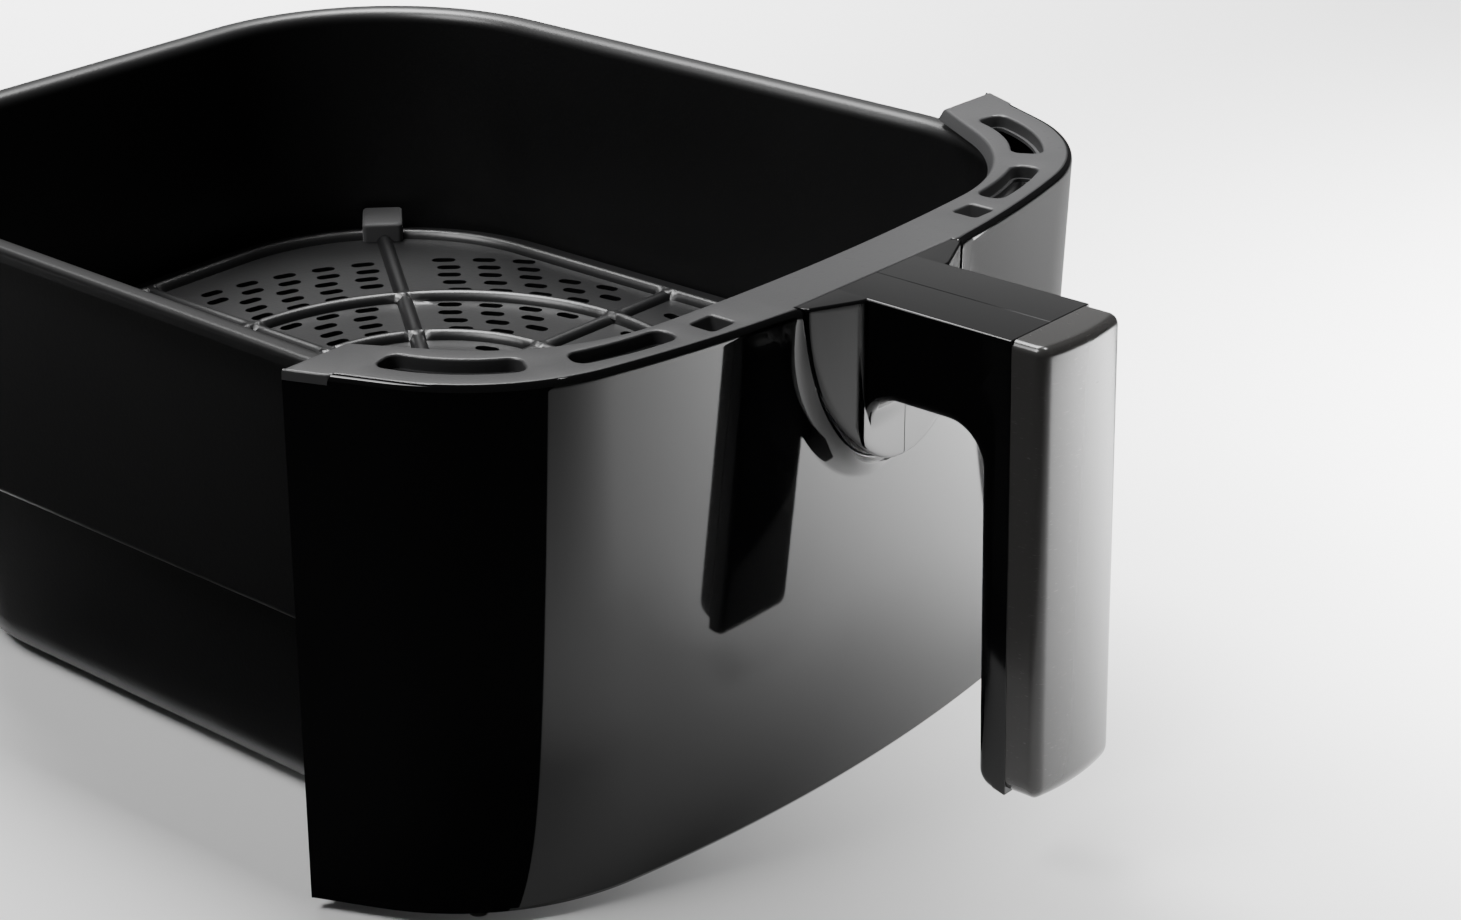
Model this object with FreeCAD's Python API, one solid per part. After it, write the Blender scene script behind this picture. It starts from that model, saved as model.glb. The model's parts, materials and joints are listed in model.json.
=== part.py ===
"""Removable drawer of a family-size air fryer: pan, crisper plate, front shell and handle.

Frame: the origin is the centre of the pan's flat base, +Z is up and -Y is the front, where the
handle is. All sizes are in millimetres. Each separate piece is written to parts/NAME.step.
"""
import FreeCAD, Part
import math
import os
from collections import namedtuple

V = FreeCAD.Vector
UP = V(0, 0, 1)

# Overall sizes
deck_top = 143.0              # top of the trim and of the handle arm
shell_foot = 3.0              # lower edge of the front shell
open_wall = 0.5               # a cut runs this far past the face it opens
fit_gap = 0.3                 # between plastic parts that fit together

# Pressed pan
pan_front = -143.5
pan_back = 141.0
pan_half = 122.3              # half width at the front
pan_taper = 4.3               # the back is narrower by this much on each side
pan_front_radius = 64.0
pan_back_radius = 70.0
pan_sheet = 1.2
rim_flat = 3.6                # level flange around the opening
rim_skirt = 3.6               # how far the rolled edge turns down
rim_edge_round = 1.8
rim_round = 4.0               # from the flange into the wall
wall_lean = 1.5               # draft of the upper wall over its height
ledge_height = 62.0           # inside of the ledge that carries the plate
ledge_width = 9.0
ledge_round = 3.0
sump_lean = 3.5
base_round = 12.0
groove_width = 5.0
groove_depth = 1.0
groove_insets = (30.0, 46.0)

# Front trim and shell, as the distance that each stands ahead of the pan's rim
trim_reach = 13.7
trim_cover = 4.1              # the trim's inner edge lies this far behind the rim's edge
shell_low_reach = 7.5
wing_long = 53.9              # from the rim's front edge to where the shell and trim stop
shell_stand = 1.3             # the shell stands this far outside the trim
shell_wall = 2.5
shell_chamfer = 1.3
trim_sheet = 2.6
trim_lip_drop = 3.2           # inner lip of the trim, above the pan's rim
trim_lip_thick = 2.2
trim_lip_slope = 1.5
wing_step_long = 11.4         # here the trim's ends cover the shell's top edge
wing_step_drop = 1.6
seal_thick = 2.1
seal_edge = 0.4
seal_width = 2.4
rim_top = deck_top - trim_sheet - seal_thick
wing_end = pan_front + wing_long

# A bowed face: its front, bow radius, corner radius, how far the corner's centre lies inside the
# pan's side, and the angle at which the corner ends in a straight side
Bow = namedtuple("Bow", "front bow_radius corner_radius corner_inset side_angle")
trim_outside = Bow(pan_front - trim_reach, 364.0, 55.0, 47.55, 68.0)
trim_inside = Bow(pan_front + trim_cover, 700.0, 58.0, 67.45, 60.0)
shell_low = Bow(pan_front - shell_low_reach, 483.0, 66.0, 53.5, 66.0)

# Openings in the trim; a slot's centre is given from the centre of the trim's corner
Slot = namedtuple("Slot", "x y radius start stop width")
corner_slot = Slot(0.0, 0.0, 44.0, 33.0, 76.5, 8.6)
front_slot = Slot(-19.55, 39.9, 90.0, 5.0, 22.5, 7.4)
slot_corner = 3.0
slot_skirt = 2.2              # wall that hangs round each slot
slot_skirt_drop = 4.3
pocket_from_corner = 22.95    # from the corner's centre towards the handle
pocket_behind = 7.1           # from the trim's outer face to the pocket's middle
pocket_long = 7.9
pocket_deep = 7.2
pocket_depth = 7.0
pocket_floor_deep = 4.4
pocket_wall = 1.6

# Boss of the handle and the bezel round it
boss_half = 31.0              # half width of the boss at the top
boss_drop = 46.0              # the boss reaches this far below the deck
boss_face = trim_outside.front - 7.6
boss_edge = trim_outside.front - 0.8
boss_back = pan_front - 0.9
boss_flat = 16.8              # half width of the flat between the slanted sides
boss_flange = 3.0             # lip of the boss behind the shell
boss_flange_thick = 2.0
boss_flange_reach = 4.6       # the lip's front lies this far ahead of the shell's low inside face
bezel_width = 11.0            # at the bezel's foot, behind the shell's wall
bezel_proud = 4.2             # at the bezel's lowest point; it is flush at the top
bezel_lip = 0.9               # thickness of the bezel at its crown
bezel_turn = 0.4              # the crown lies this far behind the boss's edge
notch_back = boss_edge + 3.1  # the trim is cut back to here over the boss

# Liner that closes the shell's back
liner_wall = 2.0
liner_gap = 1.5               # between the pan's rim and the liner's upper wall
liner_top = rim_top - rim_skirt - 1.2
liner_shelf = ledge_height - 6.0
liner_low_inset = 8.0         # lower wall, under the pan's ledge
liner_cap_top = rim_top - fit_gap
liner_window_half = boss_half + fit_gap   # passage for the boss and the bracket
window_drop = 3.0             # the passage starts this far below the bracket

# Arm and grip
arm_half = 16.0
arm_drop = 25.0
arm_root_round = 9.0
arm_grip_round = 10.5
grip_back = boss_face - 33.5
grip_seam = grip_back - 8.7
grip_foot = 23.5
grip_lean = 1.4
grip_edge_round = 2.5
cover_deep = 11.0
cover_bow_radius = 65.0
cover_corner = 3.6
cover_end_round = 2.5
cover_wall = 2.4
core_half = 7.0
core_plate_half = 11.0
core_thick = 4.0
core_drop = 12.5              # top of the core below the arm's top
core_foot = deck_top - 53.0
core_wall = 1.6               # plastic between the core and the seam

# Bracket on the pan's front wall
bracket_half = 24.0
bracket_web = 16.0
bracket_wall = pan_front + 7.4    # the feet are trimmed to the pan's wall from here
bracket_sheet = 2.0
bracket_top = deck_top - 11.0
bracket_foot = deck_top - 55.0
rivet_radius = 2.4
rivet_head = 4.2
rivet_head_thick = 1.4
rivet_heights = (deck_top - 45.0, deck_top - 21.0)

# Screws
screw_radius = 1.4
screw_head = 2.4
screw_head_thick = 1.8
screw_grip = 9.0              # length of screw in its post
bolt_radius = 2.0
bolt_head = 3.8
bolt_heights = (deck_top - 39.0, deck_top - 22.0)     # bracket to core
bolt_edge = 6.0               # core below the lower bolt
bow_post_behind = 5.4         # a post's centre behind the outer face, on the bow
corner_post_behind = 4.6      # and on the corner
trim_post_radius = 2.5
trim_post_x = boss_half + 9.0
trim_post_angle = 26.0        # place of the second post on the trim's corner
trim_post_foot = deck_top - 19.0
lug_thick = 2.5
lug_rim = 1.2                 # lug beyond the post that stands on it
shell_post_radius = 3.5
shell_post_x = 50.0
shell_post_angle = 45.0
shell_post_high = 22.0
clamp_places = ((boss_edge + 4.0, deck_top - 31.0), (boss_face - 17.2, deck_top - 18.5),
                ((grip_back + grip_seam) / 2 - 1.7, deck_top - 71.0))
clamp_bore = 3.2
cover_screw_heights = (grip_foot + 9.5, deck_top - 43.0)
cover_post_radius = 3.0
cover_screw_seat = 2.0        # plastic under a cover screw's head
cover_post_deep = 6.0
cover_web = 2.0               # web that ties a post to the cover's front

# Crisper plate
plate_sheet = 1.4
plate_top = ledge_height + 7.3
plate_gap = 1.6               # between the plate's edge and the pan's wall
plate_front_radius = pan_front_radius - 2.0
plate_back_radius = pan_back_radius
edge_ridge_inset = 9.0
ridge_width = 5.0
ridge_height = 2.6
rib_height = 2.2
ring_radii = (43.0, 75.0)
seam_turn = 20.0              # a ring's seam lies between two ribs
hub_radius = 14.0
hub_rim = 1.0                 # the hub covers this much of the ribs' ends
hole_rows = (22.0, 29.0, 36.0, 50.0, 56.5, 63.0, 69.5, 82.0, 88.5, 95.0, 101.5, 108.0)
hole_long = 7.4
hole_wide = 3.4
hole_pitch = 12.6
hole_edge_clear = 15.0
hole_rib_clear = 4.0
bumper_wide = 12.5
bumper_inner = 14.0           # reach inwards from the plate's edge
bumper_outer = 2.6            # reach outwards from the plate's edge
bumper_high = 6.0
bumper_round = 1.5
lift_gap = 0.4                # between the bumpers and the pan's ledge


def line(a, b):
    return Part.LineSegment(a, b).toShape()


def arc(a, middle, b):
    return Part.Arc(a, middle, b).toShape()


def box(low, high):
    """Block between two corners."""
    size = high - low
    return Part.makeBox(size.x, size.y, size.z, low)


def cylinder(radius, height, foot, direction=UP):
    return Part.makeCylinder(radius, height, foot, direction)


def join(shapes):
    """One solid out of several that touch or overlap."""
    return shapes[0].multiFuse(shapes[1:]).removeSplitter()


def mirrored(shape):
    """The same shape on the other side of the centre plane."""
    return shape.mirror(V(0, 0, 0), V(1, 0, 0))


def rounded_edges(points, radii, closed=True):
    """Edges of a flat polygon whose corners are rounded; a radius of 0 leaves a corner sharp.

    A closed one starts and ends halfway along its first side.
    """
    count = len(points)
    stops = []
    for i, radius in enumerate(radii):
        corner = points[i]
        if radius == 0 or (not closed and i in (0, count - 1)):
            stops.append((corner, None, corner))
            continue
        back = (points[i - 1] - corner).normalize()
        ahead = (points[(i + 1) % count] - corner).normalize()
        half = back.getAngle(ahead) / 2
        middle_way = (back + ahead).normalize()
        reach = radius / math.tan(half)
        centre = corner + middle_way * (radius / math.sin(half))
        stops.append((corner + back * reach, centre - middle_way * radius, corner + ahead * reach))
    if closed:
        start = (points[0] + points[1]) * 0.5
        order = list(range(1, count)) + [0]
    else:
        start = points[0]
        order = range(1, count)
    edges = []
    here = start
    for i in order:
        before, middle, after = stops[i]
        if (before - here).Length > 1e-6:
            edges.append(line(here, before))
        if middle is not None:
            edges.append(arc(before, middle, after))
        here = after
    if closed:
        edges.append(line(here, start))
    return edges


def inset_corners(points, inset):
    """A convex polygon, listed anticlockwise, with every side moved inwards."""
    moved = []
    count = len(points)
    for i, corner in enumerate(points):
        into = (corner - points[i - 1]).normalize()
        away = (points[(i + 1) % count] - corner).normalize()
        first = V(-into.y, into.x, 0)
        second = V(-away.y, away.x, 0)
        moved.append(corner + (first + second) * (inset / (1 + first.dot(second))))
    return moved


def pan_corners(inset):
    """Unrounded corners of the pan's outline, from the front left one."""
    back_half = pan_half - pan_taper
    corners = [V(-pan_half, pan_front, 0), V(pan_half, pan_front, 0),
               V(back_half, pan_back, 0), V(-back_half, pan_back, 0)]
    return inset_corners(corners, inset)


def outline(inset, height, front_radius, back_radius):
    """Closed wire that follows the pan's outline, moved inwards, at a height."""
    points = [corner + UP * height for corner in pan_corners(inset)]
    radii = [front_radius, front_radius, back_radius, back_radius]
    return Part.Wire(rounded_edges(points, radii))


def pan_outline(inset, height):
    return outline(inset, height, pan_front_radius - inset, pan_back_radius - inset)


def slab(wire, thickness):
    return Part.Face(wire).extrude(UP * thickness)


def swept(profile, path):
    """Solid of a closed profile carried round a level path."""
    pipe = Part.BRepOffsetAPI.MakePipeShell(path)
    pipe.setBiNormalMode(UP)
    pipe.add(profile)
    pipe.build()
    pipe.makeSolid()
    return pipe.shape()


def corner_centre(bow):
    """Centre of a bowed face's right corner, and the angle at which the corner starts."""
    between = bow.bow_radius - bow.corner_radius
    x = pan_half - bow.corner_inset
    start = math.asin(x / between)
    return V(x, bow.front + bow.bow_radius - between * math.cos(start), 0), start


def bow_y(bow, x):
    """Where the bowed part of a face is, at a distance from the centre plane."""
    return bow.front + bow.bow_radius - math.sqrt(bow.bow_radius ** 2 - x ** 2)


def post_places(bow, near_x, angle):
    """Places of the two posts right of the centre: one behind the bow, one behind the corner."""
    centre = corner_centre(bow)[0]
    turn = math.radians(angle)
    reach = bow.corner_radius - corner_post_behind
    return ((near_x, bow_y(bow, near_x) + bow_post_behind),
            (centre.x + reach * math.sin(turn), centre.y - reach * math.cos(turn)))


def bow_points(bow, inset, height):
    """Points of a bowed face from its left end to its right end, moved inwards."""
    corner, start = corner_centre(bow)
    side = math.radians(bow.side_angle)
    middle = (start + side) / 2
    bow_centre = bow.front + bow.bow_radius
    large = bow.bow_radius - inset
    small = bow.corner_radius - inset

    def on_corner(angle):
        return V(corner.x + small * math.sin(angle), corner.y - small * math.cos(angle), height)

    turn_end = on_corner(side)
    run = (wing_end - turn_end.y) / math.sin(side)
    right = [V(large * math.sin(start), bow_centre - large * math.cos(start), height),
             on_corner(middle), turn_end,
             turn_end + V(math.cos(side), math.sin(side), 0) * run]
    left = [V(-p.x, p.y, p.z) for p in reversed(right)]
    return left + [V(0, bow.front + inset, height)] + right


def bow_edges(points):
    return [line(points[0], points[1]), arc(*points[1:4]), arc(*points[3:6]), arc(*points[5:8]),
            line(points[7], points[8])]


def band(outer, outer_inset, inner, inner_inset, height):
    """Closed wire of the band between two bowed faces."""
    front = bow_points(outer, outer_inset, height)
    back = bow_points(inner, inner_inset, height)[::-1]
    edges = bow_edges(front) + [line(front[-1], back[0])] + bow_edges(back)
    return Part.Wire(edges + [line(back[-1], front[0])])


def ellipse_wire(grow, centre_y, proud=0.0):
    """Upright ellipse about the boss's centre; its lowest point stands proud of its middle."""
    tall = boss_drop + grow
    centre = V(0, centre_y, deck_top)
    return Part.Wire(Part.Ellipse(centre + V(0, proud, tall), centre + V(boss_half + grow, 0, 0),
                                  centre).toShape())


def ellipse_slug(grow, near, far):
    """Slug along Y with the outline of the boss, grown all round."""
    return Part.Face(ellipse_wire(grow, near)).extrude(V(0, far - near, 0))


def pan_wall_inset(height):
    """Distance of the upper wall's inside face from the rim's edge."""
    wall_top = rim_top - rim_round
    return rim_flat + rim_round + wall_lean * (wall_top - height) / (wall_top - ledge_height)


def make_pan():
    """Pressed sheet: rolled rim, wall, ledge, sump and a floor with pressed grooves."""
    wall = rim_flat + rim_round
    ledge = wall + wall_lean
    floor_start = ledge + ledge_width + sump_lean
    floor_inset = floor_start + base_round
    corners = [(0, rim_top - rim_skirt), (0, rim_top), (wall, rim_top), (ledge, ledge_height),
               (ledge + ledge_width, ledge_height), (floor_start, pan_sheet),
               (floor_inset, pan_sheet)]
    radii = [0, rim_edge_round, rim_round, ledge_round - pan_sheet, ledge_round, base_round, 0]
    points = [V(0, pan_front + inwards, height) for inwards, height in corners]
    inside = Part.Wire(rounded_edges(points, radii, closed=False))
    section = inside.makeOffset2D(pan_sheet, 0, True, True)
    if section.BoundBox.ZMin > pan_sheet / 2:
        section = inside.makeOffset2D(-pan_sheet, 0, True, True)
    wall_solid = swept(section.OuterWire, pan_outline(0, 0))
    pan = join([wall_solid, slab(pan_outline(floor_inset, 0), pan_sheet)])
    for inset in groove_insets:
        outside = groove_width + 2 * pan_sheet
        pan = pan.fuse(frame_ring(inset - pan_sheet, outside, pan_sheet, groove_depth))
        pan = pan.cut(frame_ring(inset, groove_width, 0, groove_depth))
    return pan


def frame_ring(inset, width, height, thickness):
    """Level band of even width that follows the pan's outline."""
    return slab(pan_outline(inset, height), thickness).cut(
        slab(pan_outline(inset + width, height), thickness))


def make_bracket(pan):
    """Hat-section steel bracket; its feet are trimmed to the pan's front wall."""
    pieces = [box(V(-bracket_web, boss_back, bracket_foot),
                  V(bracket_web, boss_back + bracket_sheet, bracket_top))]
    for side in (-1, 1):
        inner = side * (bracket_web - bracket_sheet)
        outer = side * bracket_web
        foot = side * bracket_half
        pieces.append(box(V(min(inner, outer), boss_back, bracket_foot),
                          V(max(inner, outer), bracket_wall, bracket_top)))
        pieces.append(box(V(min(inner, foot), bracket_wall - bracket_sheet, bracket_foot),
                          V(max(inner, foot), bracket_wall, bracket_top)))
    return join(pieces).cut(pan)


def make_rivets():
    """Rivets through the bracket's feet and the pan's wall, with a head on each side."""
    rivets = []
    foot_middle = (bracket_half + bracket_web) / 2
    for x in (-foot_middle, foot_middle):
        for height in rivet_heights:
            wall = pan_front + pan_wall_inset(height)
            front = bracket_wall - bracket_sheet
            rivets.append(join([
                cylinder(rivet_radius, wall - front, V(x, front, height), V(0, 1, 0)),
                cylinder(rivet_head, rivet_head_thick, V(x, wall, height), V(0, 1, 0)),
                cylinder(rivet_head, rivet_head_thick, V(x, front, height), V(0, -1, 0))]))
    return rivets


def shell_outside(inset):
    """Solid of everything inside the shell's outer face, as far as the wings."""
    sections = []
    for bow, out, height in ((shell_low, inset, shell_foot),
                             (trim_outside, inset - shell_stand, deck_top - shell_chamfer),
                             (trim_outside, inset, deck_top)):
        edges = bow_edges(bow_points(bow, out, height))
        ends = bow_points(bow, out, height)
        sections.append(Part.Wire(edges + [line(ends[-1], ends[0])]))
    return Part.makeLoft(sections, True, True)


def make_bezel():
    """Swelling of the shell's front that rises to a thin crown round the boss."""
    near = shell_low.front + shell_wall + boss_flange_thick
    base = ellipse_wire(bezel_width, near)
    crown = ellipse_wire(fit_gap + bezel_lip, boss_edge + bezel_turn, bezel_proud)
    room = box(V(-boss_half * 2, boss_face, shell_foot),
               V(boss_half * 2, near, deck_top - shell_chamfer))
    return Part.makeLoft([base, crown], True, True).common(room).cut(shell_inside())


def make_shell():
    """Bowed, slightly leaning front with the notch and raised bezel for the handle's boss."""
    added = [make_bezel()]
    for x, y in shell_posts:
        post = cylinder(shell_post_radius, shell_post_high, V(x, y, liner_floor_top()))
        added += [post, mirrored(post)]
    lug_foot = trim_post_foot - lug_thick
    for x, y in trim_posts:
        lug = cylinder(trim_post_radius + lug_rim, lug_thick, V(x, y, lug_foot))
        reach = box(V(x - trim_post_radius, y - bow_post_behind, lug_foot),
                    V(x + trim_post_radius, y, trim_post_foot))
        lug = join([lug, reach]).common(shell_outside(shell_wall / 2)).cut(liner_zone())
        added += [lug, mirrored(lug)]
    shell = shell_outside(0).cut(shell_inside()).fuse(added)
    holes = [ellipse_slug(fit_gap, boss_face - bezel_proud, boss_back), wing_step(0, fit_gap),
             deck_slab()]
    holes += screw_holes(shell_posts, liner_floor_top(), screw_grip)
    holes += screw_holes(trim_posts, lug_foot, lug_thick)
    return shell.cut(Part.makeCompound(holes)).removeSplitter()


def shell_inside():
    """Space that the shell's wall encloses, open at the top and bottom."""
    low = bow_points(shell_low, shell_wall, shell_foot)
    high = bow_points(trim_outside, shell_wall - shell_stand, deck_top)
    wires = [Part.Wire(bow_edges(points) + [line(points[-1], points[0])]) for points in (low, high)]
    return Part.makeLoft(wires, True, True)


def liner_floor_top():
    return shell_foot + liner_wall


def liner_zone():
    """Everything inside the liner's upper wall."""
    return slab(pan_outline(-liner_gap - liner_wall, 0), deck_top)


def wing_step(inset, drop):
    """The two tabs at the trim's ends that reach over the shell's top edge."""
    height = deck_top - wing_step_drop - drop
    reach = band(trim_outside, inset - shell_stand, trim_outside, 0, height)
    tabs = slab(reach, wing_step_drop + drop)
    ends = box(V(-pan_half * 2, wing_end - wing_step_long - drop, height),
               V(pan_half * 2, wing_end, deck_top))
    return tabs.common(ends)


trim_posts = post_places(trim_outside, trim_post_x, trim_post_angle)
shell_posts = post_places(shell_low, shell_post_x, shell_post_angle)


def screw_holes(places, foot, length):
    """Bores for screws that come up from below, on both sides."""
    holes = []
    for x, y in places:
        for side in (-1, 1):
            holes.append(cylinder(screw_radius, length, V(side * x, y, foot)))
    return holes


def screws_up(places, foot, length):
    """Screws that come up from below, with a pan head under foot."""
    screws = []
    for x, y in places:
        for side in (-1, 1):
            shank = cylinder(screw_radius, length, V(side * x, y, foot))
            head = cylinder(screw_head, screw_head_thick, V(side * x, y, foot - screw_head_thick))
            screws.append(join([shank, head]))
    return screws


def slot_solid(slot, grow, foot):
    """Curved slot with rounded corners, grown all round, from foot up to the deck."""
    start = math.radians(slot.start) - grow / slot.radius
    stop = math.radians(slot.stop) + grow / slot.radius
    middle = (start + stop) / 2
    inner = slot.radius - slot.width / 2 - grow
    outer = slot.radius + slot.width / 2 + grow

    centre = corner_centre(trim_outside)[0] + V(slot.x, slot.y, foot)

    def at(radius, angle):
        return centre + V(radius * math.sin(angle), -radius * math.cos(angle), 0)

    edges = [arc(at(outer, start), at(outer, middle), at(outer, stop)),
             line(at(outer, stop), at(inner, stop)),
             arc(at(inner, stop), at(inner, middle), at(inner, start)),
             line(at(inner, start), at(outer, start))]
    solid = slab(Part.Wire(edges), deck_top - foot)
    upright = [edge for edge in solid.Edges
               if abs(edge.Vertexes[0].Z - edge.Vertexes[-1].Z) > (deck_top - foot) / 2]
    return solid.makeFillet(slot_corner + grow / 2, upright)


def pocket_x():
    """Distance of the latch pockets from the centre plane."""
    return corner_centre(trim_outside)[0].x - pocket_from_corner


def pocket_solid(grow, foot_drop):
    """Latch pocket that narrows downwards on the pan's side."""
    middle = pocket_x()
    half = pocket_long / 2 + grow
    front = bow_y(trim_outside, middle) + pocket_behind - pocket_deep / 2 - grow

    def rectangle(deep, height):
        corners = [V(middle - half, front, height), V(middle + half, front, height),
                   V(middle + half, front + deep, height), V(middle - half, front + deep, height)]
        return Part.makePolygon(corners + corners[:1])

    return Part.makeLoft([rectangle(pocket_deep + 2 * grow, deck_top),
                          rectangle(pocket_floor_deep + 2 * grow, deck_top - foot_drop)], True, True)


def deck_slab():
    """The deck before anything is cut out of it; the shell's top edge is rebated for it."""
    return slab(band(trim_outside, 0, trim_inside, 0, deck_top - trim_sheet), trim_sheet)


def make_trim():
    """Deck over the pan's front rim, with curved vent slots, latch pockets and screw posts."""
    under = deck_top - trim_sheet
    deck = deck_slab()
    lip = Part.makeLoft([
        band(trim_inside, -trim_lip_thick, trim_inside, 0, deck_top),
        band(trim_inside, trim_lip_slope - trim_lip_thick, trim_inside, trim_lip_slope,
             deck_top - trim_lip_drop)], True, True)
    added = [lip, wing_step(0, 0)]
    holes = []
    rim_room = slab(pan_outline(-seal_edge, 0), rim_top + seal_edge)
    for slot in (corner_slot, front_slot):
        skirt = slot_solid(slot, slot_skirt, deck_top - slot_skirt_drop)
        added += [skirt, mirrored(skirt)]
        hole = slot_solid(slot, 0, deck_top - slot_skirt_drop - open_wall)
        holes += [hole, mirrored(hole)]
    cup = pocket_solid(pocket_wall, pocket_depth + pocket_wall).cut(rim_room)
    added += [cup, mirrored(cup)]
    pocket = pocket_solid(0, pocket_depth)
    holes += [pocket, mirrored(pocket)]
    for x, y in trim_posts:
        post = cylinder(trim_post_radius, under - trim_post_foot, V(x, y, trim_post_foot))
        added += [post, mirrored(post)]
    trim = deck.fuse(added).common(trim_limit())
    holes.append(box(V(-boss_half - fit_gap, boss_face, under - slot_skirt_drop),
                     V(boss_half + fit_gap, notch_back, deck_top + open_wall)))
    holes += screw_holes(trim_posts, trim_post_foot, screw_grip)
    return trim.cut(Part.makeCompound(holes)).removeSplitter()


def trim_limit():
    """Room inside the shell's wall below the deck, and over it at the wing ends."""
    inside = shell_inside()
    top = slab(band(trim_outside, -shell_stand, trim_inside, trim_lip_slope, deck_top - trim_sheet),
               trim_sheet)
    return inside.fuse(top)


def make_liner():
    """Inner wall and floor that close the shell's back, stepped in under the pan's ledge."""
    upper = frame_ring(-liner_gap - liner_wall, liner_wall, liner_shelf - liner_wall,
                       liner_top - liner_shelf + liner_wall)
    shelf = frame_ring(-liner_gap - liner_wall, liner_gap + 2 * liner_wall + liner_low_inset,
                       liner_shelf - liner_wall, liner_wall)
    lower = frame_ring(liner_low_inset, liner_wall, shell_foot, liner_shelf - shell_foot)
    low_room = slab(pan_outline(liner_low_inset, 0), liner_shelf - liner_wall)
    high_room = slab(pan_outline(-liner_gap, liner_shelf - liner_wall), deck_top)
    wide = 2 * pan_half
    far = 2 * shell_low.front
    closing = box(V(-wide, far, shell_foot), V(wide, wing_end, liner_cap_top))
    caps = box(V(-wide, wing_end - liner_wall, shell_foot), V(wide, wing_end, liner_cap_top))
    floor = box(V(-wide, far, shell_foot), V(wide, wing_end, liner_floor_top()))
    plates = caps.fuse(floor).cut(low_room).cut(high_room)
    liner = upper.fuse([shelf, lower, plates]).common(closing).common(shell_inside())
    window = box(V(-liner_window_half, far, bracket_foot - window_drop),
                 V(liner_window_half, 0, deck_top))
    liner = liner.cut(window)
    return liner.cut(Part.makeCompound(screw_holes(shell_posts, shell_foot, liner_wall)))


def make_seal():
    """Silicone strip between the pan's rim and the trim, from one latch pocket to the other."""
    strip = frame_ring(seal_edge, seal_width, rim_top, seal_thick)
    half = pocket_x() - pocket_long / 2 - pocket_wall - seal_edge
    return strip.common(box(V(-half, pan_front, rim_top), V(half, 0, deck_top)))


def leaned(shape):
    """The shape tipped outwards at its foot with the grip, about the top of the seam."""
    return shape.rotated(V(0, grip_seam, deck_top), V(1, 0, 0), -grip_lean)


def lean_back(height):
    """How far the grip has moved outwards at a height, because it leans."""
    return (deck_top - height) * math.tan(math.radians(grip_lean))


def side_profile():
    """Side view of the arm and the rear of the grip, as one rounded outline."""
    foot_back = grip_back - lean_back(grip_foot)
    foot_seam = grip_seam - lean_back(grip_foot)
    arm_foot = deck_top - arm_drop
    points = [V(0, boss_edge, deck_top), V(0, grip_seam, deck_top), V(0, foot_seam, grip_foot),
              V(0, foot_back, grip_foot), V(0, grip_back - lean_back(arm_foot), arm_foot),
              V(0, boss_face, arm_foot), V(0, boss_face, arm_foot - arm_root_round - 1),
              V(0, boss_edge, arm_foot - arm_root_round - 1)]
    radii = [0, 0, 0, 2 * grip_edge_round, arm_grip_round, arm_root_round, 0, 0]
    return Part.Wire(rounded_edges(points, radii))


def boss_plan(foot, height):
    """Prism of the boss seen from above: a flat front between two slanted sides."""
    corners = [V(-boss_half, boss_back, foot), V(-boss_half, boss_edge, foot),
               V(-boss_flat, boss_face, foot), V(boss_flat, boss_face, foot),
               V(boss_half, boss_edge, foot), V(boss_half, boss_back, foot)]
    return slab(Part.makePolygon(corners + corners[:1]), height)


def core_solid(grow):
    """L-shaped steel bar with its fixing plate, grown by a clearance for the handle's cavity."""
    arm_top = deck_top - core_drop
    near = grip_seam + core_wall
    plate = box(V(-core_plate_half - grow, boss_back - core_thick - grow, bolt_heights[0] - bolt_edge - grow),
                V(core_plate_half + grow, boss_back, arm_top + grow))
    bar = box(V(-core_half - grow, near + core_thick / 2, arm_top - core_thick - grow),
              V(core_half + grow, boss_back, arm_top + grow))
    drop = box(V(-core_half - grow, near - grow, core_foot - grow),
               V(core_half + grow, near + core_thick + grow, arm_top + grow))
    return join([plate, bar, leaned(drop)])


def make_handle():
    """Boss, arm and rear of the grip, hollowed for the core and split on the centre plane."""
    profile = Part.Face(side_profile()).extrude(V(2 * arm_half, 0, 0))
    profile.translate(V(-arm_half, 0, 0))
    rear = [edge for edge in profile.Edges if is_rear_edge(edge)]
    body = profile.makeFillet(grip_edge_round, rear)
    foot = deck_top - boss_drop
    boss = boss_plan(foot, boss_drop).common(ellipse_slug(0, boss_face, boss_back))
    flange_near = shell_low.front + shell_wall - boss_flange_reach
    flange = ellipse_slug(boss_flange, flange_near, flange_near + boss_flange_thick)
    flange = flange.common(shell_inside())
    low = box(V(-2 * boss_half, boss_face, 0), V(2 * boss_half, 0, deck_top - trim_sheet - fit_gap))
    boss = boss.fuse(flange.common(low).cut(liner_zone()))
    above = box(V(-2 * boss_half, notch_back - fit_gap, deck_top - trim_sheet - fit_gap),
                V(2 * boss_half, 0, deck_top + open_wall))
    boss = boss.cut(above)
    handle = join([body, boss]).cut(core_solid(fit_gap))
    holes = []
    for y, height in clamp_places:
        holes.append(cylinder(screw_radius, 2 * screw_grip, V(-screw_grip, y, height), V(1, 0, 0)))
        holes.append(cylinder(clamp_bore, 2 * arm_half, V(screw_grip, y, height), V(1, 0, 0)))
    for height in cover_screw_heights:
        seat = V(0, grip_seam + cover_screw_seat, height)
        holes.append(leaned(cylinder(screw_radius, 2 * cover_screw_seat, seat, V(0, -1, 0))))
        holes.append(leaned(cylinder(clamp_bore, arm_half, seat, V(0, 1, 0))))
    return handle.cut(Part.makeCompound(holes))


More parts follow.
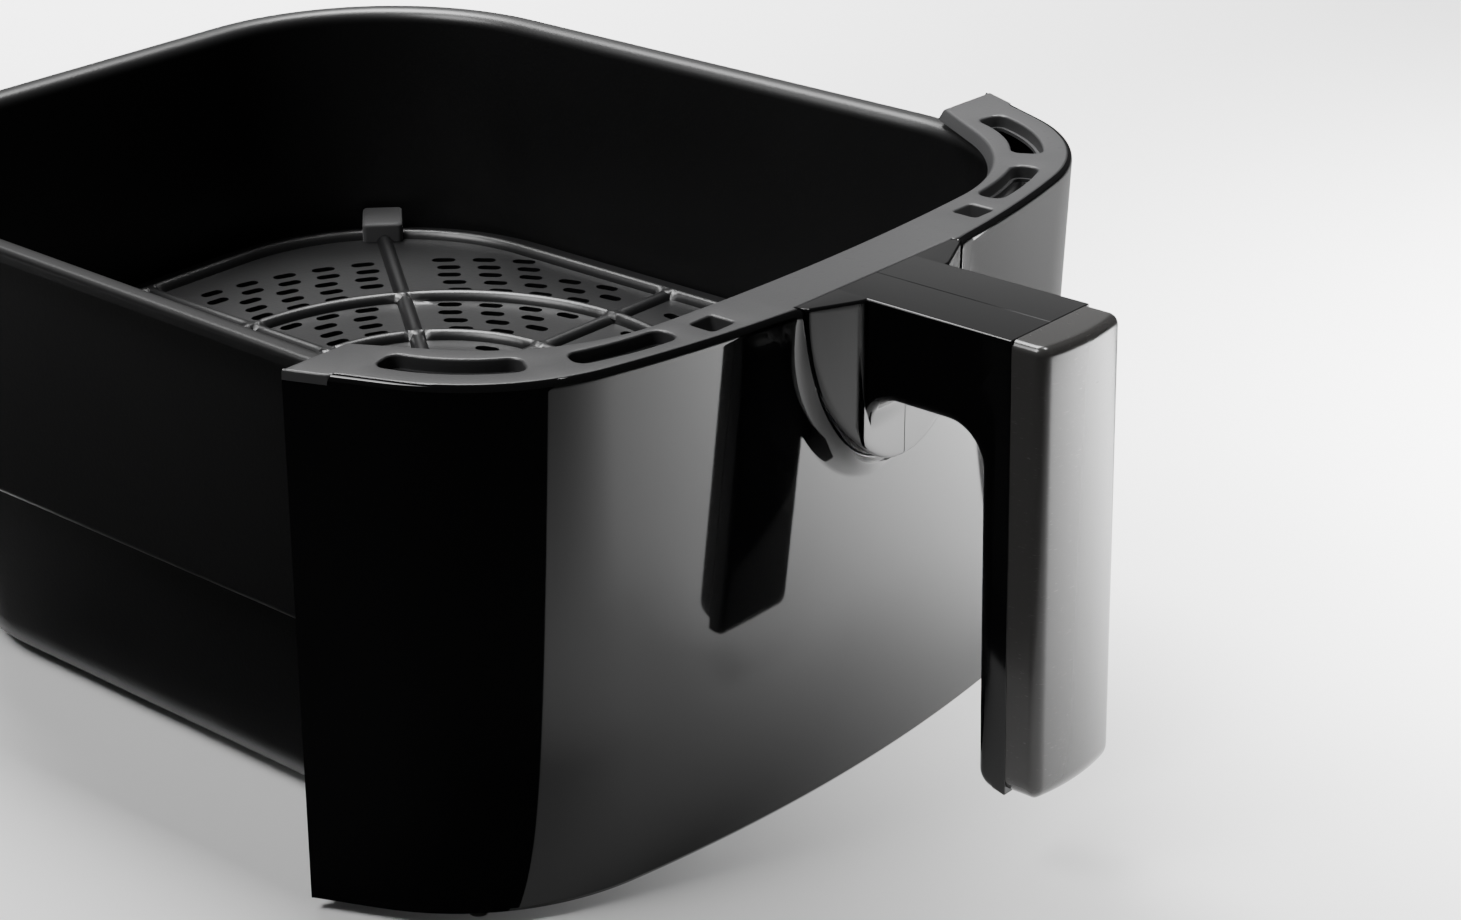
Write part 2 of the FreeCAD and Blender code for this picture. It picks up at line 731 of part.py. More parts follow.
def is_rear_edge(edge):
    """True for the long edges of the grip's rear and the arm's underside."""
    ends = [edge.Vertexes[0].Point, edge.Vertexes[-1].Point]
    on_side = all(abs(abs(p.x) - arm_half) < 0.01 for p in ends) and ends[0].x * ends[1].x > 0
    behind_seam = all(p.y > grip_seam - lean_back(p.z) + 1 for p in ends)
    ahead_of_boss = all(p.y < boss_face - 0.1 for p in ends)
    return on_side and behind_seam and ahead_of_boss and all(p.z < deck_top - 1 for p in ends)


def make_cover():
    """Hollow grip cover: D-shaped section with a slightly bowed front and soft ends."""
    seam = grip_seam - fit_gap / 2
    bow_centre = seam - cover_deep + cover_bow_radius
    between = cover_bow_radius - cover_corner
    corner_x = arm_half - cover_corner
    start = math.asin(corner_x / between)
    corner_y = bow_centre - between * math.cos(start)

    def section(inset, height):
        large = cover_bow_radius - inset
        small = cover_corner - inset

        def on_corner(angle):
            return V(corner_x + small * math.sin(angle), corner_y - small * math.cos(angle), height)

        right = [V(arm_half - inset, seam, height), on_corner(math.pi / 2),
                 on_corner((start + math.pi / 2) / 2), on_corner(start)]
        left = [V(-p.x, p.y, p.z) for p in reversed(right)]
        return Part.Wire([line(right[0], right[1]), arc(*right[1:4]),
                          arc(right[3], V(0, bow_centre - large, height), left[0]), arc(*left[0:3]),
                          line(left[2], left[3]), line(left[3], right[0])])

    height = deck_top - grip_foot
    cover = slab(section(0, grip_foot), height)
    ends = [edge for edge in cover.Edges
            if abs(edge.Vertexes[0].Z - edge.Vertexes[-1].Z) < 0.01 and edge.BoundBox.YMin < seam - 1]
    cover = cover.makeFillet(cover_end_round, ends)
    cover = cover.cut(slab(section(cover_wall, grip_foot + cover_wall), height - 2 * cover_wall))
    for level in cover_screw_heights:
        post = cylinder(cover_post_radius, cover_post_deep, V(0, seam, level), V(0, -1, 0))
        web = box(V(-cover_post_radius, seam - cover_deep + cover_wall / 2, level - cover_web / 2),
                  V(cover_post_radius, seam - cover_post_deep + cover_web / 2, level + cover_web / 2))
        bore = cylinder(screw_radius, cover_post_deep, V(0, seam, level), V(0, -1, 0))
        cover = cover.fuse([post, web]).cut(bore)
    return leaned(cover)


def side_screws():
    """Screws that clamp the handle's halves, put in from the right."""
    screws = []
    for y, height in clamp_places:
        shank = cylinder(screw_radius, 2 * screw_grip, V(-screw_grip, y, height), V(1, 0, 0))
        head = cylinder(screw_head, screw_head_thick, V(screw_grip, y, height), V(1, 0, 0))
        screws.append(join([shank, head]))
    return screws


def cover_screws():
    """Screws from the rear of the grip into the cover's posts."""
    screws = []
    for height in cover_screw_heights:
        seat = V(0, grip_seam + cover_screw_seat, height)
        shank = cylinder(screw_radius, cover_screw_seat + cover_post_deep - fit_gap, seat, V(0, -1, 0))
        head = cylinder(screw_head, screw_head_thick, seat, V(0, 1, 0))
        screws.append(leaned(join([shank, head])))
    return screws


def core_bolts():
    """Bolts through the bracket's web into the core's plate, heads on the pan's side."""
    bolts = []
    for height in bolt_heights:
        start = boss_back + bracket_sheet
        shank = cylinder(bolt_radius, bracket_sheet + core_thick, V(0, start, height), V(0, -1, 0))
        head = cylinder(bolt_head, bracket_sheet, V(0, start, height), V(0, 1, 0))
        bolts.append(join([shank, head]))
    return bolts


def bolt_bores():
    length = bracket_sheet + core_thick + 2 * open_wall
    return Part.makeCompound([
        cylinder(bolt_radius, length, V(0, boss_back + bracket_sheet + open_wall, height), V(0, -1, 0))
        for height in bolt_heights])


def plate_inset():
    """Distance of the crisper plate's edge from the pan's rim edge."""
    return pan_wall_inset(plate_top) + plate_gap


def plate_outline(inset, height):
    return outline(plate_inset() + inset, height, plate_front_radius - inset, plate_back_radius - inset)


def plate_corner(x_side, y_side):
    """Middle of a rounded corner of the plate's edge, and the way that it faces."""
    corners = pan_corners(plate_inset())
    index = (0 if x_side < 0 else 1) if y_side < 0 else (3 if x_side < 0 else 2)
    radius = plate_front_radius if y_side < 0 else plate_back_radius
    corner = corners[index]
    back = (corners[index - 1] - corner).normalize()
    ahead = (corners[(index + 1) % 4] - corner).normalize()
    inward = (back + ahead).normalize()
    reach = radius / math.sin(back.getAngle(ahead) / 2) - radius
    return corner + inward * reach, inward * -1


def rib_ends():
    """Outer ends of the eight radial ribs, on the plate's edge ridge."""
    edge = plate_outline(edge_ridge_inset, plate_top)
    bounds = edge.BoundBox
    ends = [V(0, bounds.YMin, 0), V(0, bounds.YMax, 0)]
    side = pan_corners(plate_inset() + edge_ridge_inset)
    middle_half = (side[1].x * pan_back - side[2].x * pan_front) / (pan_back - pan_front)
    ends += [V(-middle_half, 0, 0), V(middle_half, 0, 0)]
    for x_side in (-1, 1):
        for y_side in (-1, 1):
            place, outward = plate_corner(x_side, y_side)
            ends.append(place - outward * edge_ridge_inset)
    return ends


def half_round(centre, across, height):
    """Low arched section for a ridge, standing on the plate."""
    foot = centre - across * (ridge_width / 2)
    other = centre + across * (ridge_width / 2)
    crown = centre + UP * height
    return Part.Wire([arc(foot, crown, other), line(other, foot)])


def hole_cutters(ends):
    """Rounded slots in rings round the plate's centre, clear of the ribs, ridges and edge."""
    rib_angles = [math.atan2(end.y, end.x) for end in ends]
    limit = Part.Face(plate_outline(hole_edge_clear, plate_top))
    cutters = []
    for row, radius in enumerate(hole_rows):
        count = round(2 * math.pi * radius / hole_pitch)
        for k in range(count):
            angle = 2 * math.pi * (k + 0.5 * (row % 2)) / count
            place = V(radius * math.cos(angle), radius * math.sin(angle), plate_top)
            near_rib = min(abs(math.sin((angle - rib) / 2)) * 2 * radius for rib in rib_angles)
            if near_rib < hole_long / 2 + hole_rib_clear or not limit.isInside(place, 0.01, True):
                continue
            straight = hole_long - hole_wide
            slot = box(V(-straight / 2, -hole_wide / 2, -plate_sheet - open_wall),
                       V(straight / 2, hole_wide / 2, open_wall))
            for end in (-1, 1):
                slot = slot.fuse(cylinder(hole_wide / 2, plate_sheet + 2 * open_wall,
                                          V(end * straight / 2, 0, -plate_sheet - open_wall)))
            slot.rotate(V(0, 0, 0), UP, math.degrees(angle) + 90)
            slot.translate(place)
            cutters.append(slot)
    return Part.makeCompound(cutters)


def make_plate():
    """Crisper plate: pierced sheet with an edge ridge, two ring ridges and eight ribs."""
    sheet = slab(plate_outline(0, plate_top - plate_sheet), plate_sheet)
    edge_path = plate_outline(edge_ridge_inset, plate_top)
    start = edge_path.Edges[0].Vertexes[0].Point
    ridges = [swept(half_round(start, V(0, 1, 0), ridge_height), edge_path)]
    for radius in ring_radii:
        section = Part.Face(half_round(V(radius, 0, plate_top), V(1, 0, 0), ridge_height))
        ring = section.revolve(V(0, 0, 0), UP, 360)
        ring.rotate(V(0, 0, 0), UP, seam_turn)
        ridges.append(ring)
    ends = rib_ends()
    for end in ends:
        along = V(end.x, end.y, 0).normalize()
        across = V(-along.y, along.x, 0)
        section = Part.Face(half_round(along * hub_radius + UP * plate_top, across, rib_height))
        ridges.append(section.extrude(V(end.x, end.y, 0) - along * hub_radius))
    hub = cylinder(hub_radius + hub_rim, ridge_height, V(0, 0, plate_top))
    return join([sheet, hub] + ridges).cut(hole_cutters(ends))


def make_bumper(x_side, y_side, plate):
    """Silicone block that grips the plate's corner and stands on the pan's ledge."""
    place, outward = plate_corner(x_side, y_side)
    foot = ledge_height + lift_gap
    block = box(V(-bumper_inner, -bumper_wide / 2, foot),
                V(bumper_outer, bumper_wide / 2, plate_top + bumper_high))
    block = block.makeFillet(bumper_round, [
        edge for edge in block.Edges if edge.BoundBox.ZMin > plate_top])
    block.rotate(V(0, 0, 0), UP, math.degrees(math.atan2(outward.y, outward.x)))
    block.translate(V(place.x, place.y, 0))
    return block.cut(plate)


def save(name, shapes):
    """Write one node, as a single solid or a group of separate ones."""
    solids = [solid for shape in shapes for solid in shape.Solids]
    node = solids[0] if len(solids) == 1 else Part.makeCompound(solids)
    if not node.isValid():
        raise ValueError(name + " is not a valid solid")
    node.exportStep("parts/" + name + ".step")
    print(f"{name}: {len(solids)} solid(s), {node.Volume / 1000:.1f} cm3")


def main():
    os.makedirs("parts", exist_ok=True)
    rivets = make_rivets()
    bare_pan = make_pan()
    bracket = make_bracket(bare_pan)
    all_rivets = Part.makeCompound(rivets)
    save("pan", [bare_pan.cut(all_rivets)])
    save("handle_bracket", [bracket.cut(all_rivets).cut(bolt_bores())])
    save("bracket_rivets", rivets)
    save("front_shell", [make_shell()])
    save("top_trim", [make_trim()])
    save("inner_liner", [make_liner()])
    save("rim_seal", [make_seal()])
    save("trim_screws", screws_up(trim_posts, trim_post_foot - lug_thick, lug_thick + screw_grip))
    save("shell_screws", screws_up(shell_posts, shell_foot, liner_wall + screw_grip))
    handle = make_handle()
    reach = 2 * deck_top
    right_side = box(V(0, -reach, -reach), V(reach, reach, reach))
    left_side = box(V(-reach, -reach, -reach), V(0, reach, reach))
    save("handle_left_half", [handle.common(left_side)])
    save("handle_right_half", [handle.common(right_side)])
    core = core_solid(0).cut(bolt_bores())
    passages = [leaned(cylinder(clamp_bore, 2 * core_half, V(0, grip_back, height), V(0, -1, 0)))
                for height in cover_screw_heights]
    save("handle_core", [core.cut(Part.makeCompound(passages))])
    save("core_bolts", core_bolts())
    save("handle_screws", side_screws())
    save("grip_cover", [make_cover()])
    save("grip_cover_screws", cover_screws())
    plate = make_plate()
    save("crisper_plate", [plate])
    for x_side, x_name in ((-1, "left"), (1, "right")):
        for y_side, y_name in ((-1, "front"), (1, "back")):
            save(f"bumper_{y_name}_{x_name}", [make_bumper(x_side, y_side, plate)])


main()
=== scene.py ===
import json
import math

import bmesh
import bpy
import numpy as np
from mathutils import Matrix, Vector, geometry


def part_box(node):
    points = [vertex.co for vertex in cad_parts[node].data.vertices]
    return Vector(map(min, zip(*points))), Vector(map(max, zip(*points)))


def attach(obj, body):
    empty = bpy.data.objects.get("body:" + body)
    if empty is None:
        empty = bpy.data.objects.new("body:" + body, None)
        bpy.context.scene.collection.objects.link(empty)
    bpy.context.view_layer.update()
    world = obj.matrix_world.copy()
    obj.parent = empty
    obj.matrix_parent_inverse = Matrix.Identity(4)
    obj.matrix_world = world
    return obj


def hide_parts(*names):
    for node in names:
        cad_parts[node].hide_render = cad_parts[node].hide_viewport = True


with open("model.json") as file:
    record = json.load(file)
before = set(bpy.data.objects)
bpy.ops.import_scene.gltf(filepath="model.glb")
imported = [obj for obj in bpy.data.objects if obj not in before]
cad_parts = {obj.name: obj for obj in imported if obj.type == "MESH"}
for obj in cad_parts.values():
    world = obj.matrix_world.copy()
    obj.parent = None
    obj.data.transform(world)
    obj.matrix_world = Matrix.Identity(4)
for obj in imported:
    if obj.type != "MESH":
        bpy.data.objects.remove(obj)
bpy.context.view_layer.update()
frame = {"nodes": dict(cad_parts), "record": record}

mm = 0.001
print("frame loaded:", len(frame["nodes"]), "nodes")

# Driving places, in millimetres, read from the frame
def nodeBox(node):
    low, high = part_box(node)
    return np.array(low) / mm, np.array(high) / mm


deckTop = nodeBox("top_trim")[1][2]
shellFoot = nodeBox("front_shell")[0][2]
wingEnd = nodeBox("front_shell")[1][1]
panLow, panHigh = nodeBox("pan")
panFront, panBack, rimTop = panLow[1], panHigh[1], panHigh[2]
panHalf = panHigh[0] + 0.98          # at the front, where its corners would meet
plateTop = nodeBox("crisper_plate")[1][2] - 2.6


# Open path through flat points whose corners are arcs: each arc turns evenly about its centre
def turnedPath(points, radii, steps=8):
    pieces = [points[:1]]
    for before, corner, after, radius in zip(points[:-2], points[1:-1], points[2:], radii):
        back, ahead = before - corner, after - corner
        back, ahead = back / np.linalg.norm(back), ahead / np.linalg.norm(ahead)
        half = math.acos(np.clip(back @ ahead, -1, 1)) / 2
        way = (back + ahead) / np.linalg.norm(back + ahead)
        centre = corner + way * radius / math.sin(half)
        first = corner + back * radius / math.tan(half) - centre
        last = corner + ahead * radius / math.tan(half) - centre
        sweep = math.pi - 2 * half
        t = np.linspace(0, 1, steps + 1)[:, None]
        arc = (first * np.sin((1 - t) * sweep) + last * np.sin(t * sweep)) / math.sin(sweep)
        pieces.append(centre + arc)
    pieces.append(points[-1:])
    return np.concatenate(pieces)


# Closed rounded polygon, started halfway along its first side, with each side split evenly
def closedPath(points, radii, steps=24, between=6):
    start = (points[0] + points[1]) / 2
    order = [start, *points[1:], points[0], start]
    path = turnedPath(np.array(order), [*radii[1:], radii[0]], steps)
    gap = np.linalg.norm(np.diff(path, axis=0), axis=1)
    extra = np.where(gap > 12, between, 1)
    where = np.concatenate([i + np.linspace(0, 1, n, endpoint=False) for i, n in enumerate(extra)])
    return np.stack([np.interp(where, np.arange(len(path)), path[:, k]) for k in range(2)], 1)


# Inward mitre of a flat anticlockwise loop: the sum of two edge normals over 1 + their product
def loopNormals(loop, closed=True):
    if closed:
        into = loop - np.roll(loop, 1, 0)
        away = np.roll(loop, -1, 0) - loop
    else:
        steps = np.diff(loop, axis=0)
        into, away = np.vstack([steps[:1], steps]), np.vstack([steps, steps[-1:]])
    first = np.stack([-into[:, 1], into[:, 0]], 1) / np.linalg.norm(into, axis=1)[:, None]
    second = np.stack([-away[:, 1], away[:, 0]], 1) / np.linalg.norm(away, axis=1)[:, None]
    return (first + second) / (1 + np.sum(first * second, 1))[:, None]


# Inset and depth along a rounded edge: (r - r cos a, r sin a - r) turned from wall to top
def quarter(radius, steps=6):
    a = np.radians(np.linspace(0, 90, steps + 1))
    return np.stack([radius - radius * np.cos(a), radius * np.sin(a) - radius], 1)


# Quads of a grid of points; wrap joins the last column to the first
def grid(rows, columns, wrap=False):
    i, j = np.meshgrid(np.arange(rows - 1), np.arange(columns if wrap else columns - 1), indexing="ij")
    k = (j + 1) % columns
    quads = [i * columns + j, (i + 1) * columns + j, (i + 1) * columns + k, i * columns + k]
    return np.stack(quads, -1).reshape(-1, 4)


# Patch of a (rows, columns, 3) array of points
def surface(points, wrap=False):
    return points.reshape(-1, 3), grid(points.shape[0], points.shape[1], wrap).tolist()


# Profile of (inset, height) carried round a flat loop: loop + normal * inset, one row per point
def rings(loop, profile):
    normal = loopNormals(loop)
    flat = loop[None] + normal[None] * profile[:, None, :1]
    height = np.broadcast_to(profile[:, None, 1:], flat.shape[:2] + (1,))
    return np.concatenate([flat, height], -1)


# Closed wall between two grids of the same shape: both faces, joined along their borders
def shellOf(outer, inner, wrap=False):
    patches = [surface(outer, wrap), surface(inner, wrap)]
    patches += [surface(np.stack([outer[i], inner[i]]), wrap) for i in (0, -1)]
    if not wrap:
        patches += [surface(np.stack([outer[:, i], inner[:, i]])) for i in (0, -1)]
    return patches


# Flat triangles between an outer loop and the holes in it; all loops lie in one plane
def filled(loops, inside=None):
    flat = [p for loop in loops for p in loop[:, :2].tolist()]
    edges, first = [], 0
    for loop in loops:
        edges += [(first + i, first + (i + 1) % len(loop)) for i in range(len(loop))]
        first += len(loop)
    extra = [] if inside is None else inside.tolist()
    made = geometry.delaunay_2d_cdt([tuple(p) for p in flat + extra], edges, [], 0, 1e-5)
    points, faces = np.array([tuple(p) for p in made[0]]), [list(f) for f in made[2]]
    middle = np.array([points[f].mean(0) for f in faces])
    keep = within(middle, loops[0])
    for hole in loops[1:]:
        keep &= ~within(middle, hole)
    return points, [f for f, k in zip(faces, keep) if k]


# Even-odd test: True where a line to the right of a point crosses the loop an odd number of times
def within(points, loop):
    a, b = loop[:, :2], np.roll(loop[:, :2], -1, 0)
    keep = np.zeros(len(points), bool)
    for (ax, ay), (bx, by) in zip(a, b):
        if ay != by:
            crosses = (points[:, 1] < ay) != (points[:, 1] < by)
            keep ^= crosses & (points[:, 0] < ax + (points[:, 1] - ay) * (bx - ax) / (by - ay))
    return keep


# The loop without repeated points, turned anticlockwise
def tidyLoop(loop):
    gap = np.linalg.norm(loop - np.roll(loop, 1, 0), axis=1)
    loop = loop[gap > 0.02]
    return loop if turnsLeft(loop) else loop[::-1]


def turnsLeft(loop):
    after = np.roll(loop, -1, 0)
    return np.sum(loop[:, 0] * after[:, 1] - after[:, 0] * loop[:, 1]) > 0


def raised(points, height):
    return np.column_stack([points, np.full(len(points), height)])


def lifted(patch, height):
    return raised(patch[0], height), patch[1]


# Flat patch across a plane of constant x
def upright(patch, x):
    points, faces = patch
    return np.column_stack([np.full(len(points), x), points]), faces


# Flat lids over the first and the last of a stack of level loops
def lids(stack):
    return [lifted(filled([tidyLoop(row[:, :2])]), row[0, 2]) for row in (stack[0], stack[-1])]


def mirrored(patches, side):
    return [(points.reshape(-1, 3) * [side, 1, 1], faces) for points, faces in patches]


# One mesh of several patches, welded, with faces turned outwards and placed in the frame
def makePiece(name, patches, body, nodes, material, sharp=30, weld=0.004):
    points, faces, first = [], [], 0
    for p, f in patches:
        points.append(p)
        faces += [[v + first for v in face] for face in f]
        first += len(p)
    mesh = bpy.data.meshes.new(name)
    mesh.from_pydata((np.concatenate(points) * mm).tolist(), [], faces)
    solid = bmesh.new()
    solid.from_mesh(mesh)
    bmesh.ops.remove_doubles(solid, verts=solid.verts, dist=weld * mm)
    bmesh.ops.dissolve_degenerate(solid, edges=solid.edges, dist=weld * mm / 2)
    loose = [v for v in solid.verts if not v.link_faces]
    bmesh.ops.delete(solid, geom=loose, context="VERTS")
    bmesh.ops.recalc_face_normals(solid, faces=solid.faces)
    solid.to_mesh(mesh)
    solid.free()
    mesh.shade_smooth()
    mesh.set_sharp_from_angle(angle=math.radians(sharp))
    piece = bpy.data.objects.new(name, mesh)
    bpy.context.scene.collection.objects.link(piece)
    mesh.materials.append(material)
    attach(piece, body)
    if nodes:
        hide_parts(*nodes)
    print("made", name, len(mesh.polygons), "faces")
    return piece


# A socket whose + and * add Math nodes
class Wire:
    def __init__(self, tree, socket):
        self.tree, self.socket = tree, socket

    def join(self, operation, first, second):
        node = self.tree.nodes.new("ShaderNodeMath")
        node.operation = operation
        for slot, value in zip(node.inputs, (first, second)):
            if isinstance(value, Wire):
                self.tree.links.new(value.socket, slot)
            else:
                slot.default_value = value
        return Wire(self.tree, node.outputs[0])

    def __add__(self, other):
        return self.join("ADD", self, other)

    def __radd__(self, other):
        return self.join("ADD", other, self)

    def __mul__(self, other):
        return self.join("MULTIPLY", self, other)


# One material: constants go on the shader, and what varies comes through node()
class Finish:
    def __init__(self, name, **shader):
        self.material = bpy.data.materials.new(name)
        self.material.use_nodes = True
        self.tree = self.material.node_tree
        self.shader = self.tree.nodes["Principled BSDF"]
        self.place = self.node("ShaderNodeTexCoord", out="Object")
        self.set(**shader)

    def node(self, kind, settings=None, inputs=None, out=0):
        made = self.tree.nodes.new(kind)
        for key, value in (settings or {}).items():
            if key == "stops":
                for i, (at, colour) in enumerate(value):
                    stop = made.color_ramp.elements[i] if i < 2 else made.color_ramp.elements.new(at)
                    stop.position, stop.color = at, colour
            else:
                setattr(made, key, value)
        for key, value in (inputs or {}).items():
            if isinstance(value, Wire):
                self.tree.links.new(value.socket, made.inputs[key])
            else:
                made.inputs[key].default_value = value
        return Wire(self.tree, made.outputs[out])

    def set(self, **shader):
        for key, value in shader.items():
            socket = self.shader.inputs[key.replace("_", " ")]
            if isinstance(value, Wire):
                self.tree.links.new(value.socket, socket)
            else:
                socket.default_value = value

    def noise(self, scale, detail=2.0, stretch=None):
        where = self.place
        if stretch:
            where = self.node("ShaderNodeMapping", inputs={"Vector": where, "Scale": stretch})
        return self.node("ShaderNodeTexNoise", inputs={"Vector": where, "Scale": scale, "Detail": detail})

    def tint(self, dark, light, amount):
        return self.node("ShaderNodeMix", {"data_type": "RGBA"},
                         {"Factor": amount, 6: (*dark, 1), 7: (*light, 1)}, out=2)

    def bump(self, height, strength, distance):
        self.set(Normal=self.node("ShaderNodeBump", inputs={
            "Height": height, "Strength": strength, "Distance": distance}))


# Moulded plastic: faint flow in the gloss, hairline scratches and a very fine surface wave
def moulded(name, look):
    finish = Finish(name, Coat_Roughness=look["coatRoughness"], IOR=1.5)
    flow = finish.noise(look["flow"], 3.0)
    scratch = finish.noise(420.0, 2.0, (1.0, 1.0, 14.0))
    marks = finish.node("ShaderNodeValToRGB", {"stops": [(0.62, (0, 0, 0, 1)), (0.72, (1, 1, 1, 1))]},
                        {"Fac": scratch})
    dark, light = look["colour"], look["edgeColour"]
    finish.set(Base_Color=finish.tint(dark, light, flow),
               Roughness=look["roughness"] + flow * look["spread"] + marks * look["marks"],
               Coat_Weight=look["coat"] + flow * 0.05)
    finish.bump(finish.noise(look["grain"], 2.0), look["depth"], 0.0002)
    return finish.material


# Sprayed non-stick coating: orange peel, tiny bright specks and soft wear in its sheen
def coated(name, look):
    finish = Finish(name, IOR=1.45, Coat_Roughness=look["coatRoughness"], Coat_Weight=look["coat"])
    peel = finish.noise(look["peel"], 3.0)
    specks = finish.node("ShaderNodeTexVoronoi", {"feature": "F1"},
                         {"Vector": finish.place, "Scale": look["specks"]})
    bright = finish.node("ShaderNodeValToRGB", {"stops": [(0.0, (1, 1, 1, 1)), (0.16, (0, 0, 0, 1))]},
                         {"Fac": specks})
    wear = finish.noise(14.0, 4.0)
    finish.set(Base_Color=finish.tint(look["colour"], look["speckColour"], bright),
               Roughness=look["roughness"] + wear * look["spread"])
    finish.bump(peel, look["depth"], 0.0003)
    return finish.material


# Silicone: matt, with a dusty bloom and a fine moulded grain
def rubbery(name, look):
    finish = Finish(name, IOR=1.42, Sheen_Weight=0.15, Sheen_Roughness=0.5)
    bloom = finish.noise(60.0, 4.0)
    finish.set(Base_Color=finish.tint(look["colour"], look["bloomColour"], bloom),
               Roughness=look["roughness"] + bloom * 0.12)
    finish.bump(finish.noise(2600.0, 2.0), 0.35, 0.0001)
    return finish.material


# Plated or turned steel: stretched brushing in its roughness and a little staining
def metal(name, look):
    finish = Finish(name, Metallic=1.0)
    brush = finish.noise(look["brush"], 3.0, look["stretch"])
    stain = finish.noise(35.0, 4.0)
    finish.set(Base_Color=finish.tint(look["colour"], look["stainColour"], stain),
               Roughness=look["roughness"] + brush * 0.2)
    finish.bump(brush, 0.25, 0.0001)
    return finish.material


glossLook = {"colour": (0.0016, 0.0016, 0.0018), "edgeColour": (0.003, 0.003, 0.0032),
             "roughness": 0.025, "spread": 0.03, "marks": 0.05, "coat": 0.0, "coatRoughness": 0.02,
             "flow": 6.0, "grain": 70.0, "depth": 0.02}
handleLook = dict(glossLook, roughness=0.06, marks=0.06, flow=9.0)
trimLook = dict(glossLook, colour=(0.030, 0.030, 0.031), edgeColour=(0.042, 0.042, 0.043),
                roughness=0.34, spread=0.12, coat=0.0, grain=1900.0, depth=0.2)
linerLook = dict(trimLook, colour=(0.012, 0.012, 0.013), edgeColour=(0.018, 0.018, 0.019),
                 roughness=0.5, grain=1400.0, depth=0.4)
gripLook = dict(glossLook, colour=(0.030, 0.029, 0.028), edgeColour=(0.038, 0.037, 0.036),
                roughness=0.2, spread=0.06, coat=0.15, coatRoughness=0.08)
panLook = {"colour": (0.0035, 0.0035, 0.0037), "speckColour": (0.012, 0.012, 0.013), "roughness": 0.36,
           "spread": 0.12, "coat": 0.1, "coatRoughness": 0.2, "peel": 900.0, "specks": 900.0,
           "depth": 0.12}
plateLook = dict(panLook, colour=(0.0035, 0.0035, 0.0038), speckColour=(0.012, 0.012, 0.013),
                 roughness=0.33)
siliconeLook = {"colour": (0.035, 0.035, 0.036), "bloomColour": (0.055, 0.055, 0.056),
                "roughness": 0.5}
sealLook = dict(siliconeLook, colour=(0.02, 0.02, 0.021), bloomColour=(0.03, 0.03, 0.031))
platedLook = {"colour": (0.56, 0.56, 0.57), "stainColour": (0.42, 0.42, 0.40), "roughness": 0.28,
              "brush": 300.0, "stretch": (1.0, 12.0, 1.0)}
zincLook = dict(platedLook, colour=(0.6, 0.6, 0.63), stretch=(1.0, 1.0, 4.0), roughness=0.22)
rivetLook = dict(platedLook, colour=(0.5, 0.5, 0.51), stretch=(4.0, 1.0, 4.0), roughness=0.25)

finishes = {"gloss_black_plastic": moulded("glossBlack", glossLook),
            "handle_plastic": moulded("handleBlack", handleLook),
            "trim_plastic": moulded("trimSatin", trimLook),
            "liner_plastic": moulded("linerTexture", linerLook),
            "grip_grey_plastic": moulded("gripGrey", gripLook),
            "nonstick_black": coated("panCoating", panLook),
            "nonstick_plate": coated("plateCoating", plateLook),
            "bumper_silicone": rubbery("bumperSilicone", siliconeLook),
            "seal_silicone": rubbery("sealSilicone", sealLook),
            "plated_steel": metal("platedSteel", platedLook),
            "zinc_steel": metal("zincSteel", zincLook),
            "stainless_steel": metal("rivetSteel", rivetLook)}
print("materials made:", len(finishes))


pan = {"taper": 4.3, "frontRadius": 64.0, "backRadius": 70.0, "sheet": 1.2, "flat": 3.6, "skirt": 3.6,
       "edgeRound": 1.8, "wallRound": 4.0, "lean": 1.5, "ledge": 62.0, "ledgeWidth": 9.0,
       "ledgeRound": 3.0, "sumpLean": 3.5, "baseRound": 12.0, "ribHigh": 1.0,
       "ribSlope": 0.7, "ribRound": 0.5, "ribs": ((0, 36.2), (44.8, 52.2))}


# Corners of the pan's tapered outline, moved inwards along the mitres
def panCorners(inset):
    back = panHalf - pan["taper"]
    corners = np.array([[-panHalf, panFront], [panHalf, panFront], [back, panBack], [-back, panBack]])
    return corners + loopNormals(corners) * inset


def panLoop(inset, front, back, steps=28):
    return closedPath(panCorners(inset), [front, front, back, back], steps)


